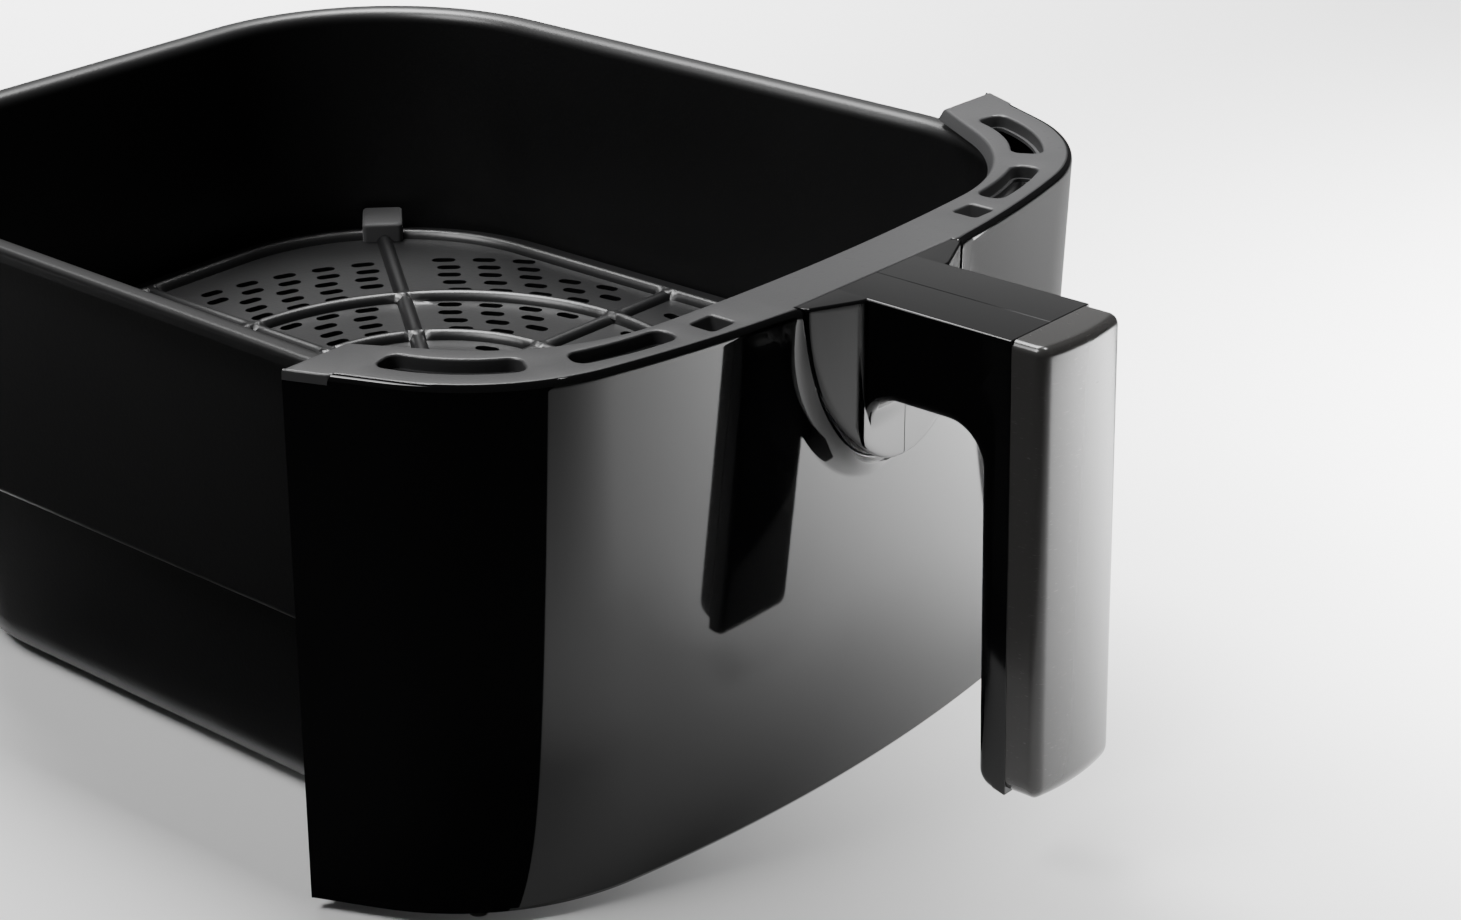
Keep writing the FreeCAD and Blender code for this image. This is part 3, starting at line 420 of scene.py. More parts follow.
# Profile (inset, height) of the inside, carried round the outline; the outside is its offset by the sheet
def makePan():
    wall = pan["flat"] + pan["wallRound"]
    ledge = wall + pan["lean"]
    sump = ledge + pan["ledgeWidth"] + pan["sumpLean"]
    points = [(0, rimTop - pan["skirt"]), (0, rimTop), (wall, rimTop), (ledge, pan["ledge"]),
              (ledge + pan["ledgeWidth"], pan["ledge"]), (sump, pan["sheet"] + pan["ribHigh"])]
    radii = [pan["edgeRound"], pan["wallRound"], pan["ledgeRound"] - pan["sheet"], pan["ledgeRound"],
             pan["baseRound"]]
    floorHigh, floorLow = pan["sheet"] + pan["ribHigh"], pan["sheet"]
    for start, stop in pan["ribs"]:
        if start:
            points += [(start - pan["ribSlope"], floorLow), (start, floorHigh)]
            radii += [pan["ribRound"]] * 2
        points += [(stop, floorHigh), (stop + pan["ribSlope"], floorLow)]
        radii += [pan["ribRound"]] * 2
    points.append((stop + 5.0, floorLow))
    inside = turnedPath(np.array(points), radii, 7)
    outside = inside - loopNormals(inside, closed=False) * pan["sheet"]
    outside[:, 1] = np.maximum(outside[:, 1], 0.0)
    loop = panLoop(0.0, pan["frontRadius"], pan["backRadius"])
    centre = np.array([0.0, (panFront + panBack) / 2])
    inner, outer = rings(loop, inside), rings(loop, outside)
    patches = [surface(inner, True), surface(outer, True),
               surface(np.stack([inner[0], outer[0]]), True)]
    for rows in (inner, outer):
        last = rows[-1]
        middle = np.broadcast_to([*centre, last[0, 2]], last.shape)
        t = np.linspace(0, 1, 7)[:, None, None]
        patches.append(surface(last * (1 - t) + middle * t, True))
    return makePiece("pan_body", patches, "drawer", ["pan"],
                     finishes["nonstick_black"])


makePan()


# Bowed face: a wide arc, a corner arc and a straight side, with the corner's centre worked out
def bow(front, bowRadius, cornerRadius, cornerInset, sideAngle):
    between = bowRadius - cornerRadius
    x = panHalf - cornerInset
    start = math.asin(x / between)
    side = math.radians(sideAngle)
    y = front + bowRadius - between * math.cos(start)
    run = (wingEnd - (y - cornerRadius * math.cos(side))) / math.sin(side)
    return {"centre": front + bowRadius, "radius": bowRadius, "corner": (x, y), "turn": cornerRadius,
            "start": start, "side": side, "run": run,
            "lengths": np.cumsum([0, bowRadius * start, cornerRadius * (side - start), run])}


trimOutside = bow(panFront - 13.7, 364.0, 55.0, 47.55, 68.0)
trimInside = bow(panFront + 4.1, 700.0, 58.0, 67.45, 60.0)
shellLow = bow(panFront - 7.5, 483.0, 66.0, 53.5, 66.0)


# Point and outward normal at u: 0-1 on the wide arc, 1-2 on the corner, 2-3 on the side; signed
def bowPoint(face, u, inset=0.0):
    a, sign = np.abs(u), np.where(u < 0, -1.0, 1.0)
    wide = face["start"] * np.minimum(a, 1)
    angle = wide + (face["side"] - face["start"]) * np.clip(a - 1, 0, 1)
    way = np.stack([np.sin(angle), -np.cos(angle)], -1)
    onBow = np.stack([np.sin(angle) * face["radius"], face["centre"] - np.cos(angle) * face["radius"]], -1)
    onCorner = np.array(face["corner"]) + way * face["turn"]
    point = np.where((a <= 1)[..., None], onBow, onCorner)
    along = np.array([math.cos(face["side"]), math.sin(face["side"])])
    point = point + along * (face["run"] * np.clip(a - 2, 0, 1))[..., None]
    point = point - way * np.asarray(inset)[..., None]
    flip = np.stack([sign, np.ones_like(sign)], -1)
    return point * flip, way * flip


# u values at even steps of length from one end of a bowed face to the other
def evenly(face, count):
    half = np.interp(np.linspace(0, face["lengths"][-1], count), face["lengths"], [0, 1, 2, 3])
    return np.concatenate([-half[:0:-1], half])


shell = {"stand": 1.3, "wall": 2.5, "topDrop": 2.2, "footRound": 0.8, "bezelWide": 7.0,
         "bezelProud": 4.2, "bezelRound": 0.55, "bossHalf": 31.0, "bossDrop": 46.0, "gap": 0.3,
         "lip": 7.0, "lipStep": 3.0, "topStand": 1.3, "innerDrop": 2.6, "fanShare": 0.72,
         "fanReach": 34.0}


# Outer face at arc length s and height z: straight lines from the low bow to the high one
def shellPoint(s, z, inset=0.0):
    u = np.sign(s) * np.interp(np.abs(s), trimOutside["lengths"], [0, 1, 2, 3])
    low, lowWay = bowPoint(shellLow, u, 0.0)
    high, highWay = bowPoint(trimOutside, u, -shell["stand"])
    t = ((z - shellFoot) / (deckTop - shell["topStand"] - shellFoot))[..., None]
    way = lowWay * (1 - t) + highWay * t
    way = way / np.linalg.norm(way, axis=-1, keepdims=True)
    flat = low * (1 - t) + high * t - way * np.asarray(inset)[..., None]
    return np.concatenate([flat, z[..., None]], -1)


# How far the face rolls inwards at its top and foot: quarter ellipses
def edgeInset(z):
    up = np.clip((z - (deckTop - shell["topDrop"])) / shell["topDrop"], 0, 1)
    down = np.clip((shellFoot + shell["footRound"] - z) / shell["footRound"], 0, 1)
    return shell["stand"] * (1 - np.sqrt(1 - up ** 2)) + shell["footRound"] * (1 - np.sqrt(1 - down ** 2))


# Point (s, z) on the lower half of the boss's ellipse, grown all round; phi is 0 at its foot
def bossEdge(phi, grow):
    return np.stack([(shell["bossHalf"] + grow) * np.sin(phi),
                     deckTop - (shell["bossDrop"] + grow) * np.cos(phi)], -1)


# Rays fan out from the boss's ellipse to the shell's border: both the bezel and the border are grid lines
def makeShell():
    length = trimOutside["lengths"][-1]
    tall = deckTop - shellFoot
    top = np.concatenate([np.linspace(0, 2.4, 9), np.linspace(3.4, tall - 1.2, 44),
                          np.linspace(tall - 0.8, tall, 5)])
    alpha = np.arcsin(np.clip((1 - np.exp(-top / shell["fanReach"])) * shell["fanShare"], 0, 1))
    side = np.stack([np.full_like(top, length), deckTop - top], -1)
    footS = np.linspace(length, 0, 84)[1:]
    foot = np.stack([footS, np.full_like(footS, shellFoot)], -1)
    footAlpha = alpha[-1] + (math.pi / 2 - alpha[-1]) * np.linspace(0, 1, 84)[1:]
    rim = np.concatenate([side, foot])
    phi = math.pi / 2 - np.concatenate([alpha, footAlpha])
    rim = np.concatenate([rim, (rim * [-1, 1])[-2::-1]])
    phi = np.concatenate([phi, -phi[-2::-1]])
    wide = shell["bezelWide"]
    # bezel rows: inside the gap, over the crown, down its slope, then out to the border
    roll = quarter(shell["bezelRound"], 6)
    crown = shell["gap"] + shell["bezelRound"]
    grow = np.concatenate([[shell["gap"]] * 2, shell["gap"] + roll[:, 0], np.linspace(1.2, wide + 2.0, 16)])
    back = np.concatenate([[shell["lip"], shell["lipStep"]], -roll[:, 1], np.zeros(16)])
    e = np.clip((grow - crown) / (wide - crown), 0, 1)
    swell = (1 - e) ** 1.35 * (1 - 0.25 * np.sin(e * math.pi)) * (1 - e * 0.15)
    base = np.stack([bossEdge(phi, g) for g in grow])
    depth = np.cos(np.clip(phi, -math.pi / 2, math.pi / 2))
    proud = shell["bezelProud"] * (0.14 + 0.86 * depth ** 0.75)
    out = swell[:, None] * proud[None] - back[:, None]
    t = np.linspace(0, 1, 90)[1:, None, None] ** 1.15
    spread = base[-1][None] * (1 - t) + rim[None] * t
    flat = np.concatenate([base, spread])
    out = np.concatenate([out, np.zeros((len(spread), len(phi)))])
    s, z = flat[..., 0], np.clip(flat[..., 1], shellFoot, deckTop)
    # close to the handle the arc length is still nearly x, so s stands for x there
    outer = shellPoint(s, z, edgeInset(z))
    outer[..., 1] -= out
    inner = shellPoint(s, np.clip(z, shellFoot + 0.01, deckTop - shell["innerDrop"]), shell["wall"])
    inner[:3, :, 1] = np.maximum(inner[:3, :, 1], outer[:3, :, 1] + 0.1)
    return makePiece("front_shell_body", shellOf(outer, inner), "drawer",
                     ["front_shell"], finishes["gloss_black_plastic"], sharp=32)


makeShell()


trim = {"sheet": 2.6, "round": 0.7, "lipDrop": 3.2, "lipSlope": 1.5, "stepFrom": 11.4, "stepOut": 1.3,
        "notch": 31.3, "notchBehind": 2.3, "skirt": 2.2, "skirtDrop": 4.3, "slotRound": 3.0,
        "pocketLong": 7.9, "pocketDeep": 7.2, "pocketFloor": 4.4, "pocketDepth": 7.0,
        "pocketBehind": 7.1, "pocketFrom": 22.95, "pocketRound": 1.1, "floorShare": 0.86, "cup": 1.6,
        "flange": 0.9}
slots = [{"x": 0.0, "y": 0.0, "radius": 44.0, "start": 33.0, "stop": 76.5, "wide": 8.6},
         {"x": -19.55, "y": 39.9, "radius": 90.0, "start": 5.0, "stop": 22.5, "wide": 7.4}]


# Curved slot: an arc out, an arc back, and two ends whose corners are arcs bent along with it
def slotLoop(slot, side):
    centre = np.array(trimOutside["corner"]) + [slot["x"], slot["y"]]
    start, stop = math.radians(slot["start"]), math.radians(slot["stop"])
    low, high = slot["radius"] - slot["wide"] / 2, slot["radius"] + slot["wide"] / 2
    corner = trim["slotRound"]
    turn = np.radians(np.linspace(0, 90, 8))
    out, across = corner * (1 - np.sin(turn)), corner * (1 - np.cos(turn))

    def bent(radius, angles):
        return centre + np.stack([radius * np.sin(angles), -radius * np.cos(angles)], -1)

    parts = [bent(high, np.linspace(start + corner / high, stop - corner / high, 26)),
             bent(high - across, stop - out / high),
             bent(low + out, stop - across / low),
             bent(low, np.linspace(stop - corner / low, start + corner / low, 26)),
             bent(low + across, start + out / low),
             bent(high - out, start + across / high)]
    return tidyLoop(np.concatenate(parts) * [side, 1])


# Rounded rectangle of a latch pocket, with its middle
def pocketLoop(side):
    x = trimOutside["corner"][0] - trim["pocketFrom"]
    y = trimOutside["centre"] - math.sqrt(trimOutside["radius"] ** 2 - x ** 2) + trim["pocketBehind"]
    half, deep = trim["pocketLong"] / 2, trim["pocketDeep"] / 2
    corners = np.array([[-half, -deep], [half, -deep], [half, deep], [-half, deep]])
    loop = closedPath(corners, [trim["pocketRound"]] * 4, 6, 1) + [x, y]
    return tidyLoop(loop * [side, 1]), np.array([x * side, y])


# Flat deck with rolled edges: each border is a profile carried round its loop, and the flats join them
def makeTrim():
    u = evenly(trimOutside, 90)
    front = bowPoint(trimOutside, u)[0]
    stepped = front[:, 1] > wingEnd - trim["stepFrom"]
    front = np.where(stepped[:, None], bowPoint(trimOutside, u, -trim["stepOut"])[0], front)
    over = np.abs(front[:, 0]) < trim["notch"]
    notchY = panFront - 13.7 + trim["notchBehind"]
    left = front[~over & (front[:, 0] < 0)]
    right = front[~over & (front[:, 0] > 0)]
    notchAt = np.array([trim["notch"] / trimOutside["radius"] / trimOutside["start"]])
    cornerY = bowPoint(trimOutside, notchAt)[0][0, 1]
    notch = np.array([[-1, cornerY], [-1, notchY], [1, notchY], [1, cornerY]]) * [trim["notch"], 1]
    inner = bowPoint(trimInside, evenly(trimInside, 70)[::-1])[0]
    loop = np.concatenate([left, notch, right, inner])
    onLip = np.concatenate([np.zeros(len(left) + 4 + len(right)), np.ones(len(inner))])
    roll = quarter(trim["round"], 5)
    normal = loopNormals(loop)
    rows = []
    drop = trim["sheet"] + (trim["lipDrop"] - trim["sheet"]) * onLip
    # the border starts at the underside, which hangs lower along the lip, and the lip slopes outwards
    for inset, z in [(0.0, -drop), *[(inset, np.full(len(loop), height)) for inset, height in roll]]:
        out = onLip * trim["lipSlope"] * (-z / trim["lipDrop"])
        rows.append(np.column_stack([loop + normal * (inset - out)[:, None], z]))
    border = np.stack(rows) + [0, 0, deckTop]
    patches = [surface(border, True)]
    tops, bottoms = [border[-1]], [border[0]]
    skirt, depth, flange = trim["skirt"], trim["skirtDrop"], trim["flange"]
    edge = roll * [-1, 1]
    below = [[-skirt, -trim["sheet"]], [-skirt, -depth], [-0.4, -depth], [flange, -depth],
             [flange, flange - depth], [0.0, flange - depth]]
    slotProfile = np.concatenate([below, edge])
    for side in (-1, 1):
        for slot in slots:
            made = rings(slotLoop(slot, side), slotProfile) + [0, 0, deckTop]
            patches.append(surface(made, True))
            tops.append(made[-1])
            bottoms.append(made[0])
        hole, centre = pocketLoop(side)
        made = rings(hole, edge) + [0, 0, deckTop]
        # the pocket narrows towards its floor, which lies at its front
        front = hole[:, 1].min()
        share = trim["pocketFloor"] / trim["pocketDeep"]
        floor = np.column_stack([centre[0] + (hole[:, 0] - centre[0]) * trim["floorShare"],
                                 front + 0.15 + (hole[:, 1] - front) * share])
        floorRow = raised(floor, deckTop - trim["pocketDepth"])
        closed = np.broadcast_to(floorRow.mean(0), floorRow.shape)
        patches.append(surface(np.concatenate([made[::-1], floorRow[None], closed[None]]), True))
        cup = rings(hole, np.array([[-trim["cup"], 0.0]]))[0]
        cup[:, 2] = deckTop - trim["sheet"]
        under = raised(floor + (cup[:, :2] - hole), floorRow[0, 2] - trim["cup"])
        patches.append(surface(np.stack([cup, under, np.broadcast_to(under.mean(0), under.shape)]), True))
        tops.append(made[-1])
        bottoms.append(cup)
    patches.append(lifted(filled(tops), deckTop))
    points, faces = filled(bottoms)
    under = np.full(len(points), deckTop - trim["sheet"])
    borders = np.concatenate(bottoms)
    near = np.argmin(np.linalg.norm(borders[:, None, :2] - points[None], axis=2), 1)
    under[near] = borders[:, 2]
    patches.append((np.column_stack([points, under]), faces))
    return makePiece("top_trim_deck", patches, "drawer", ["top_trim"],
                     finishes["trim_plastic"], sharp=34)


makeTrim()


handle = {"half": 16.0, "armDrop": 25.0, "rootRound": 9.0, "gripRound": 10.5, "rearRound": 2.5,
          "topRound": 0.8, "seamRound": 0.3, "bossFlat": 16.8, "bossRound": 1.1, "ridgeRound": 1.2,
          "bossBack": panFront - 0.9, "notchBack": panFront - 11.4, "footRound": 5.0, "seamDeep": 0.14,
          "seamWide": 0.16, "bossStep": -151.0, "underArm": 0.06, "seamSet": 0.12, "topSheet": 3.0}
bossFace = panFront - 21.3
bossSide = panFront - 14.5
gripBack, gripSeam = bossFace - 33.5, bossFace - 42.2
gripLow = nodeBox("handle_left_half")[0][2]
lean = math.tan(math.radians(1.4))


# y of a point on the grip at height z, which leans outwards at its foot
def leaned(y, z):
    return y - (deckTop - z) * lean


# Side view (y, z) of the arm and the grip's rear, anticlockwise, with each corner's arc
def armProfile():
    foot = gripLow
    armFoot = deckTop - handle["armDrop"]
    root = handle["notchBack"] - 0.35
    points = np.array([[root, deckTop], [gripSeam, deckTop], [leaned(gripSeam, foot), foot],
                       [leaned(gripBack, foot), foot], [leaned(gripBack, armFoot), armFoot],
                       [bossFace, armFoot], [bossFace, armFoot - handle["rootRound"] - 1.0],
                       [root, armFoot - handle["rootRound"] - 1.0]])
    radii = [0.02, 0.35, 0.35, handle["footRound"], handle["gripRound"], handle["rootRound"], 0.02, 0.02]
    start = (points[0] + points[1]) / 2
    path = turnedPath(np.array([start, *points[1:], points[0], start]), [*radii[1:], radii[0]], 14)
    gap = np.linalg.norm(np.diff(path, axis=0), axis=1)
    return path[:-1][gap > 0.002]


# Half of the arm: the profile drawn out sideways, its edge rolled in by a radius that varies round it
def armHalf(side):
    loop = armProfile()
    loop = loop if turnsLeft(loop) else loop[::-1]
    y, z = loop.T
    seam = np.abs(y - leaned(gripSeam, z)) < 0.6
    top = z > deckTop - 0.01
    soft = np.where(seam, handle["seamRound"], np.where(top, handle["topRound"], handle["rearRound"]))
    for _ in range(3):
        soft = (np.roll(soft, 1) + soft * 2 + np.roll(soft, -1)) / 4
    radius = np.where(seam, handle["seamRound"], soft)
    normal = loopNormals(loop)
    rows = [np.column_stack([np.zeros(len(loop)), loop + normal * handle["seamDeep"]]),
            np.column_stack([np.full(len(loop), handle["seamWide"]), loop])]
    for a in np.radians(np.linspace(0, 90, 8)):
        x = handle["half"] - radius * (1 - math.sin(a))
        rows.append(np.column_stack([x, loop + normal * (radius * (1 - math.cos(a)))[:, None]]))
    body = np.stack(rows)
    ends = [upright(filled([row[:, 1:]]), row[0, 0]) for row in (body[0], body[-1])]
    return mirrored([surface(body, True), *ends], side)


# Half of the boss: columns from its elliptical edge up the face and back over the top
def bossHalf(side):
    half, drop, r = shell["bossHalf"], shell["bossDrop"], handle["bossRound"]
    x = np.concatenate([[0.0, handle["seamWide"]], np.linspace(2, 15.6, 8), np.linspace(16.0, 17.8, 9),
                        np.linspace(19, 28, 8), np.linspace(28.8, 30.9, 8), [half]])
    foot = deckTop - drop * np.sqrt(np.clip(1 - (x / half) ** 2, 0, 1))
    slope = (bossSide - bossFace) / (half - handle["bossFlat"])
    # softened corner between the flat and the slanted side: slope * (d + sqrt(d^2 + w^2)) / 2
    d = x - handle["bossFlat"]
    face = bossFace + slope * (d + np.sqrt(d ** 2 + (handle["ridgeRound"] * 0.5) ** 2)) / 2

    def row(y, z):
        return np.column_stack([x, np.broadcast_to(y, x.shape), np.broadcast_to(z, x.shape)])

    # the edge takes the first heights, in even steps, and the face shares out the rest
    low = foot + np.minimum(r, (deckTop - foot) * 0.5)
    heights = [foot + np.minimum(step, (deckTop - foot) * 0.5) for step in np.linspace(0, r, 8)]
    heights += [low + (deckTop - handle["topRound"] - low) * f for f in np.linspace(0, 1, 26)[1:]]
    rows = [row(handle["bossBack"], foot), row(handle["bossStep"], foot)]
    for z in heights:
        # distance to the ellipse: its level over the length of the level's slope
        level = np.clip((x / half) ** 2 + ((deckTop - z) / drop) ** 2, 0, 1)
        steep = 2 * np.sqrt((x / half ** 2) ** 2 + ((deckTop - z) / drop ** 2) ** 2)
        distance = np.clip((1 - level) / np.maximum(steep, 1e-6), 0, r)
        rows.append(row(face + r - np.sqrt(np.clip(r ** 2 - (r - distance) ** 2, 0, None)), z))
    top = handle["topRound"]
    y, z = rows[-1][:, 1:].T
    rows += [row(y + top * (1 - math.cos(a)), z + top * math.sin(a))
             for a in np.radians(np.linspace(15, 90, 6))]
    behind = np.maximum(rows[-1][:, 1], handle["notchBack"] - 0.3)
    rows += [row(behind, deckTop), row(behind, deckTop - handle["topSheet"]),
             row(handle["bossBack"], deckTop - handle["topSheet"])]
    body = np.stack(rows)
    body[:, :, 2] = np.minimum(body[:, :, 2], deckTop)
    body[-2:, :, 2] = np.maximum(body[-2:, :, 2], foot)
    under = x < handle["half"] - 2
    body[:, under, 2] = np.minimum(body[:, under, 2], deckTop - handle["underArm"])
    body[2:, 0, 1] += handle["seamSet"]
    seam = body[:, 0, 1:]
    keep = np.concatenate([[True], np.linalg.norm(np.diff(seam, axis=0), axis=1) > 0.002])
    return mirrored([surface(body), surface(np.stack([body[0], body[-1]])),
                     upright(filled([tidyLoop(seam[keep])]), 0.0)], side)


for side, name in ((-1, "left"), (1, "right")):
    makePiece(f"handle_{name}_body", armHalf(side) + bossHalf(side), "drawer",
              [f"handle_{name}_half"], finishes["handle_plastic"], sharp=32, weld=0.002)


cover = {"deep": 11.0, "bowRadius": 65.0, "corner": 3.6, "topRound": 2.5, "footRound": 5.5,
         "seamGap": 0.3, "leastCorner": 0.6}


# D-shaped section: straight side, corner arc and bowed front, all moved inwards
def coverSection(inset):
    centre = gripSeam - cover["seamGap"] / 2 - cover["deep"] + cover["bowRadius"]
    small, large = max(cover["corner"] - inset, cover["leastCorner"]), cover["bowRadius"] - inset
    cornerX = handle["half"] - inset - small
    start = math.asin(cornerX / (large - small))
    cornerY = centre - (large - small) * math.cos(start)
    turn = np.linspace(math.pi / 2, start, 12)
    corner = np.stack([cornerX + small * np.sin(turn), cornerY - small * np.cos(turn)], -1)
    across = np.linspace(start, 0, 16)[1:]
    front = np.stack([large * np.sin(across), centre - large * np.cos(across)], -1)
    seam = gripSeam - cover["seamGap"] / 2
    side = np.stack([np.full(5, handle["half"] - inset), np.linspace(seam, cornerY, 6)[:-1]], -1)
    right = np.concatenate([side, corner, front])
    return np.concatenate([right, (right * [-1, 1])[-2::-1]])


# Section carried up the leaning grip, moved inwards by a quarter circle at each end, then capped
def makeCover():
    a = np.radians(np.linspace(0, 90, 10))
    low, r, foot = gripLow, cover["topRound"], cover["footRound"]
    ends = np.stack([1 - np.sin(a), 1 - np.cos(a)], -1)
    levels = np.concatenate([ends * foot + [0, low],
                             [(0.0, z) for z in np.linspace(low + foot, deckTop - r, 14)[1:-1]],
                             ends[::-1] * [r, -r] + [0, deckTop]])
    rows = []
    for inset, z in levels:
        # the ends roll only over the front and sides, and stay square at the seam
        x, y = coverSection(inset).T
        rows.append(raised(np.stack([x, leaned(y, z)], 1), z))
    outer = np.stack(rows)
    patches = [surface(outer), *lids(outer), surface(np.stack([outer[:, 0], outer[:, -1]]))]
    return makePiece("grip_cover_body", patches, "drawer", ["grip_cover"],
                     finishes["grip_grey_plastic"], sharp=35)


makeCover()


plate = {"sheet": 1.4, "gap": 1.6, "frontRadius": 62.0, "backRadius": 70.0, "edgeInset": 9.0,
         "ridgeWide": 5.0, "ridgeHigh": 2.6, "ribHigh": 2.2, "rings": (43.0, 75.0), "hub": 15.0,
         "hubSlope": 0.8, "edgeRound": 0.4, "holeMargin": 2.0,
         "holeLong": 7.4, "holeWide": 3.4, "pitch": 12.6, "edgeClear": 15.0, "ribClear": 4.0,
         "rows": (22.0, 29.0, 36.0, 50.0, 56.5, 63.0, 69.5, 82.0, 88.5, 95.0, 101.5, 108.0)}
wallTop = rimTop - pan["wallRound"]
plateInset = (pan["flat"] + pan["wallRound"] + plate["gap"]
              + pan["lean"] * (wallTop - plateTop) / (wallTop - pan["ledge"]))


def plateLoop(inset, steps=24):
    return panLoop(plateInset + inset, plate["frontRadius"] - inset, plate["backRadius"] - inset, steps)


# Matrix that turns rows of flat points by an angle
def turned(angle):
    return np.array([[math.cos(angle), math.sin(angle)], [-math.sin(angle), math.cos(angle)]])


def circle(radius, count):
    turn = np.linspace(0, 2 * math.pi, count, endpoint=False)
    return np.stack([radius * np.cos(turn), radius * np.sin(turn)], -1)


# Middle of a rounded corner of the plate's edge, and the way that it faces
def cornerMiddle(xSide, ySide):
    corners = panCorners(plateInset)
    index = (0 if xSide < 0 else 1) if ySide < 0 else (3 if xSide < 0 else 2)
    radius = plate["frontRadius"] if ySide < 0 else plate["backRadius"]
    back = corners[index - 1] - corners[index]
    ahead = corners[(index + 1) % 4] - corners[index]
    back, ahead = back / np.linalg.norm(back), ahead / np.linalg.norm(ahead)
    half = math.acos(back @ ahead) / 2
    inward = (back + ahead) / np.linalg.norm(back + ahead)
    return corners[index] + inward * (radius / math.sin(half) - radius), -inward


# Height over the sheet: each ridge is a crown over the distance to its middle line, and the highest wins
def makePlate():
    corners = panCorners(plateInset + plate["edgeInset"])
    middle = (corners[1][0] * panBack - corners[2][0] * panFront) / (panBack - panFront)
    ends = [np.array(end) for end in ((0, corners[0][1]), (0, corners[2][1]), (-middle, 0), (middle, 0))]
    for xSide in (-1, 1):
        for ySide in (-1, 1):
            place, outward = cornerMiddle(xSide, ySide)
            ends.append(place - outward * plate["edgeInset"])
    half = plate["ridgeWide"] / 2
    edgeLine = plateLoop(plate["edgeInset"], 40)

    def crown(distance, height):
        t = np.clip(1 - (distance / half) ** 2, 0, 1)
        return height * t * (2 - t) ** 0.5

    def lineDistance(points, a, b):
        along = np.clip(((points - a) @ (b - a)) / ((b - a) @ (b - a)), 0, 1)
        return np.linalg.norm(points - (a + along[:, None] * (b - a)), axis=1)

    def height(points):
        radius = np.linalg.norm(points, axis=1)
        hub = np.clip((plate["hub"] + plate["hubSlope"] - radius) / plate["hubSlope"], 0, 1)
        high = plate["ridgeHigh"] * hub
        for ring in plate["rings"]:
            high = np.maximum(high, crown(radius - ring, plate["ridgeHigh"]))
        for end in ends:
            high = np.maximum(high, crown(lineDistance(points, np.zeros(2), end), plate["ribHigh"]))
        distance = np.full(len(points), 99.0)
        for a, b in zip(edgeLine, np.roll(edgeLine, -1, 0)):
            distance = np.minimum(distance, lineDistance(points, a, b))
        return np.maximum(high, crown(distance, plate["ridgeHigh"]))

    across = np.array([-1.0, -0.85, -0.55, -0.2, 0.2, 0.55, 0.85, 1.0]) * half
    inside = [circle(ring + d, int(ring * 2.2)) for ring in plate["rings"] for d in across]
    dense = closedDense(edgeLine, 3.0)
    denseWay = loopNormals(dense)
    inside += [dense + denseWay * d for d in across]
    for end in ends:
        long = np.linalg.norm(end)
        way = end / long
        steps = np.arange(plate["hub"] + 2, long, 2.6)
        for d in across:
            inside.append(steps[:, None] * way + np.array([-way[1], way[0]]) * d)
    inside += [circle(plate["hub"] + more, 48) for more in (0, plate["hubSlope"], -4, -9)]
    inside = np.concatenate(inside)
    holes = []
    ribAngles = np.array([math.atan2(e[1], e[0]) for e in ends])
    limit = plateLoop(plate["edgeClear"])
    arc = np.radians(np.linspace(-90, 90, 6))
    straight = (plate["holeLong"] - plate["holeWide"]) / 2
    r = plate["holeWide"] / 2
    slot = np.concatenate([np.stack([straight + r * np.cos(arc), r * np.sin(arc)], -1),
                           np.stack([-straight - r * np.cos(arc), -r * np.sin(arc)], -1)])
    for row, radius in enumerate(plate["rows"]):
        count = round(2 * math.pi * radius / plate["pitch"])
        for k in range(count):
            angle = 2 * math.pi * (k + 0.5 * (row % 2)) / count
            place = np.array([radius * math.cos(angle), radius * math.sin(angle)])
            near = np.min(np.abs(np.sin((angle - ribAngles) / 2)) * 2 * radius)
            if near < plate["holeLong"] / 2 + plate["ribClear"] or not within(place[None], limit)[0]:
                continue
            holes.append(slot @ turned(angle + math.pi / 2) + place)
    # bars and rings give way to the holes: no inside point is near a hole's own middle line
    tips = np.array([[(hole[2] + hole[3]) / 2, (hole[8] + hole[9]) / 2] for hole in holes])
    first, along = tips[:, 0], tips[:, 1] - tips[:, 0]
    away = inside[:, None] - first[None]
    t = np.clip(np.sum(away * along, 2) / np.sum(along * along, 1), 0, 1)
    clear = np.min(np.linalg.norm(away - t[..., None] * along, axis=2), 1) > plate["holeMargin"]
    soft = plate["edgeRound"]
    edge = plateLoop(soft)
    inside = inside[clear & within(inside, plateLoop(2.0))]
    points, faces = filled([edge, *holes], inside)
    z = height(points)
    top = np.column_stack([points, plateTop + z])
    bottom = np.column_stack([points, plateTop - plate["sheet"] + z * 0.92])
    rim = rings(plateLoop(0.0), np.array([[soft, -plate["sheet"]], [0.0, soft - plate["sheet"]],
                                          [0.0, -soft], [soft, 0.0]]))
    patches = [(top, faces), (bottom, [f[::-1] for f in faces])]
    patches.append(surface(rim + [0, 0, plateTop], True))
    for hole in holes:
        ring = np.stack([raised(hole, z) for z in (plateTop, plateTop - plate["sheet"])])
        patches.append(surface(ring, True))
    return makePiece("crisper_plate_sheet", patches, "crisper", ["crisper_plate"],
                     finishes["nonstick_plate"], sharp=40, weld=0.01)


# The same loop with points at even steps along it
def closedDense(loop, step):
    closed = np.vstack([loop, loop[:1]])
    length = np.concatenate([[0], np.cumsum(np.linalg.norm(np.diff(closed, axis=0), axis=1))])
    at = np.linspace(0, length[-1], int(length[-1] / step), endpoint=False)
    return np.stack([np.interp(at, length, closed[:, k]) for k in range(2)], 1)


makePlate()


bumper = {"wide": 12.5, "inner": 14.0, "outer": 2.6, "round": 1.5, "endRound": 1.2}


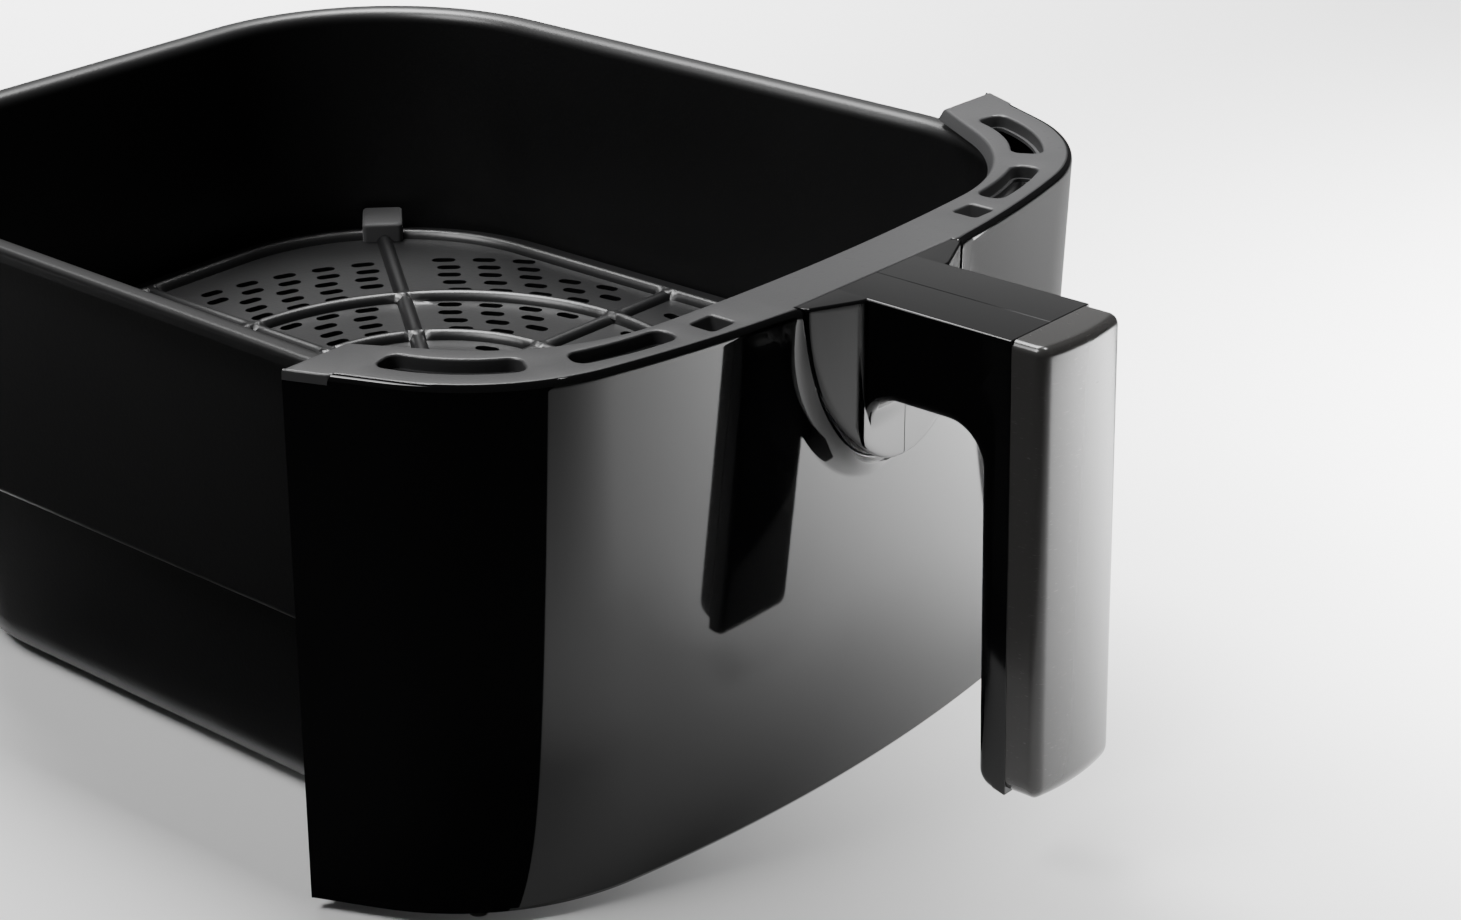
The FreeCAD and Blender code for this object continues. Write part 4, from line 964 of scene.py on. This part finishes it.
# Rounded block: a rounded rectangle carried upwards and moved inwards at both ends
def makeBumper(xSide, ySide, name):
    node = f"bumper_{name}"
    low, high = nodeBox(node)
    place, outward = cornerMiddle(xSide, ySide)
    half = bumper["wide"] / 2
    corners = np.array([[-bumper["inner"], -half], [bumper["outer"], -half], [bumper["outer"], half],
                        [-bumper["inner"], half]])
    loop = closedPath(corners, [bumper["round"]] * 4, 8, 3)
    spin = turned(math.atan2(outward[1], outward[0]))
    roll = quarter(bumper["endRound"], 7)
    up = roll + [0, high[2]]
    down = roll[::-1] * [1, -1] + [0, low[2]]
    block = rings(loop, np.concatenate([down, up]))
    block[..., :2] = block[..., :2] @ spin + place
    return makePiece(node + "_block", [surface(block, True), *lids(block)], "crisper",
                     [node], finishes["bumper_silicone"], sharp=40)


for xSide, xName in ((-1, "left"), (1, "right")):
    for ySide, yName in ((-1, "front"), (1, "back")):
        makeBumper(xSide, ySide, f"{yName}_{xName}")


slotOf = {part["node"]: part["material_slot"] for part in frame["record"]["subparts"]}
for node, obj in frame["nodes"].items():
    obj.data.materials.clear()
    obj.data.materials.append(finishes[slotOf[node]])
print("materials on carried-over nodes set")


studio = {"floor": 6.0, "world": 0.07,
          "flags": {"leftFlag": ([(-0.105, -0.11), (-0.116, -0.165), (-0.71, -3.0), (-3.0, -3.0),
                                  (-3.0, 0.5), (-0.1, 0.5)], 0.002),
                    "rightFlag": ([(0.1, -0.15), (0.2, -0.205), (0.6, -0.42), (3.0, -1.5), (3.0, 1.0),
                                   (0.1, 1.0)], 0.06)},
          "lights": [("floorKey", (0.45, -0.40, 1.2), (0.45, -0.399, 0.0), 0.4, 15.0, 40.0, False),
                     ("floorBack", (0.45, 0.75, 1.4), (0.45, 0.751, 0.0), 0.9, 40.0, 90.0, True),
                     ("wallSoft", (-0.55, 0.25, 1.0), (0.12, 0.0, 0.12), 0.5, 1.6, 60.0, True),
                     ("deckCard", (1.1, 0.66, 0.78), (0.0, -0.1, 0.14), 0.9, 0.9, 180.0, True)]}

floorMesh = bpy.data.meshes.new("floor")
f = studio["floor"] / 2
floorMesh.from_pydata([(-f, -f, 0), (f, -f, 0), (f, f, 0), (-f, f, 0)], [], [(0, 1, 2, 3)])
floor = bpy.data.objects.new("floor", floorMesh)
bpy.context.scene.collection.objects.link(floor)
paper = Finish("paper", Roughness=0.7)
paper.set(Base_Color=paper.tint((0.84, 0.84, 0.84), (0.88, 0.88, 0.88), paper.noise(2.0)))
floorMesh.materials.append(paper.material)

# Dark cards lying beside the object, which only reflections see, as studio flags are placed
for name, (outline, grey) in studio["flags"].items():
    flagMesh = bpy.data.meshes.new(name)
    flagMesh.from_pydata([(*corner, 0.0005) for corner in outline], [], [tuple(range(len(outline)))])
    flag = bpy.data.objects.new(name, flagMesh)
    bpy.context.scene.collection.objects.link(flag)
    felt = Finish(name + "Felt", Roughness=1.0)
    felt.set(Base_Color=felt.tint((grey,) * 3, (grey * 1.3,) * 3, felt.noise(300.0)))
    flagMesh.materials.append(felt.material)
    for ray in ("camera", "diffuse", "shadow", "transmission"):
        setattr(flag, "visible_" + ray, False)

world = bpy.data.worlds.new("studio")
bpy.context.scene.world = world
world.use_nodes = True
world.node_tree.nodes["Background"].inputs["Color"].default_value = (1, 1, 1, 1)
world.node_tree.nodes["Background"].inputs["Strength"].default_value = studio["world"]

for name, place, aim, size, power, spread, shadows in studio["lights"]:
    lamp = bpy.data.lights.new(name, "AREA")
    lamp.shape, lamp.size, lamp.energy, lamp.spread = "SQUARE", size, power, math.radians(spread)
    lamp.use_shadow = shadows
    obj = bpy.data.objects.new(name, lamp)
    way = np.array(aim) - np.array(place)
    obj.location = place
    obj.rotation_euler = (math.acos(-way[2] / np.linalg.norm(way)), 0,
                          math.atan2(way[1], way[0]) - math.pi / 2)
    bpy.context.scene.collection.objects.link(obj)

view = {"place": (-0.60336, -0.61616, 0.42685), "azimuth": -49.922, "elevation": 23.767, "lens": 81.51}
lens = bpy.data.cameras.new("camera")
lens.lens, lens.sensor_width = view["lens"], 36.0
camera = bpy.data.objects.new("camera", lens)
camera.location = view["place"]
camera.rotation_euler = (math.radians(90 - view["elevation"]), 0, math.radians(view["azimuth"]))
bpy.context.scene.collection.objects.link(camera)
bpy.context.scene.camera = camera
print("stage, lights and camera set")
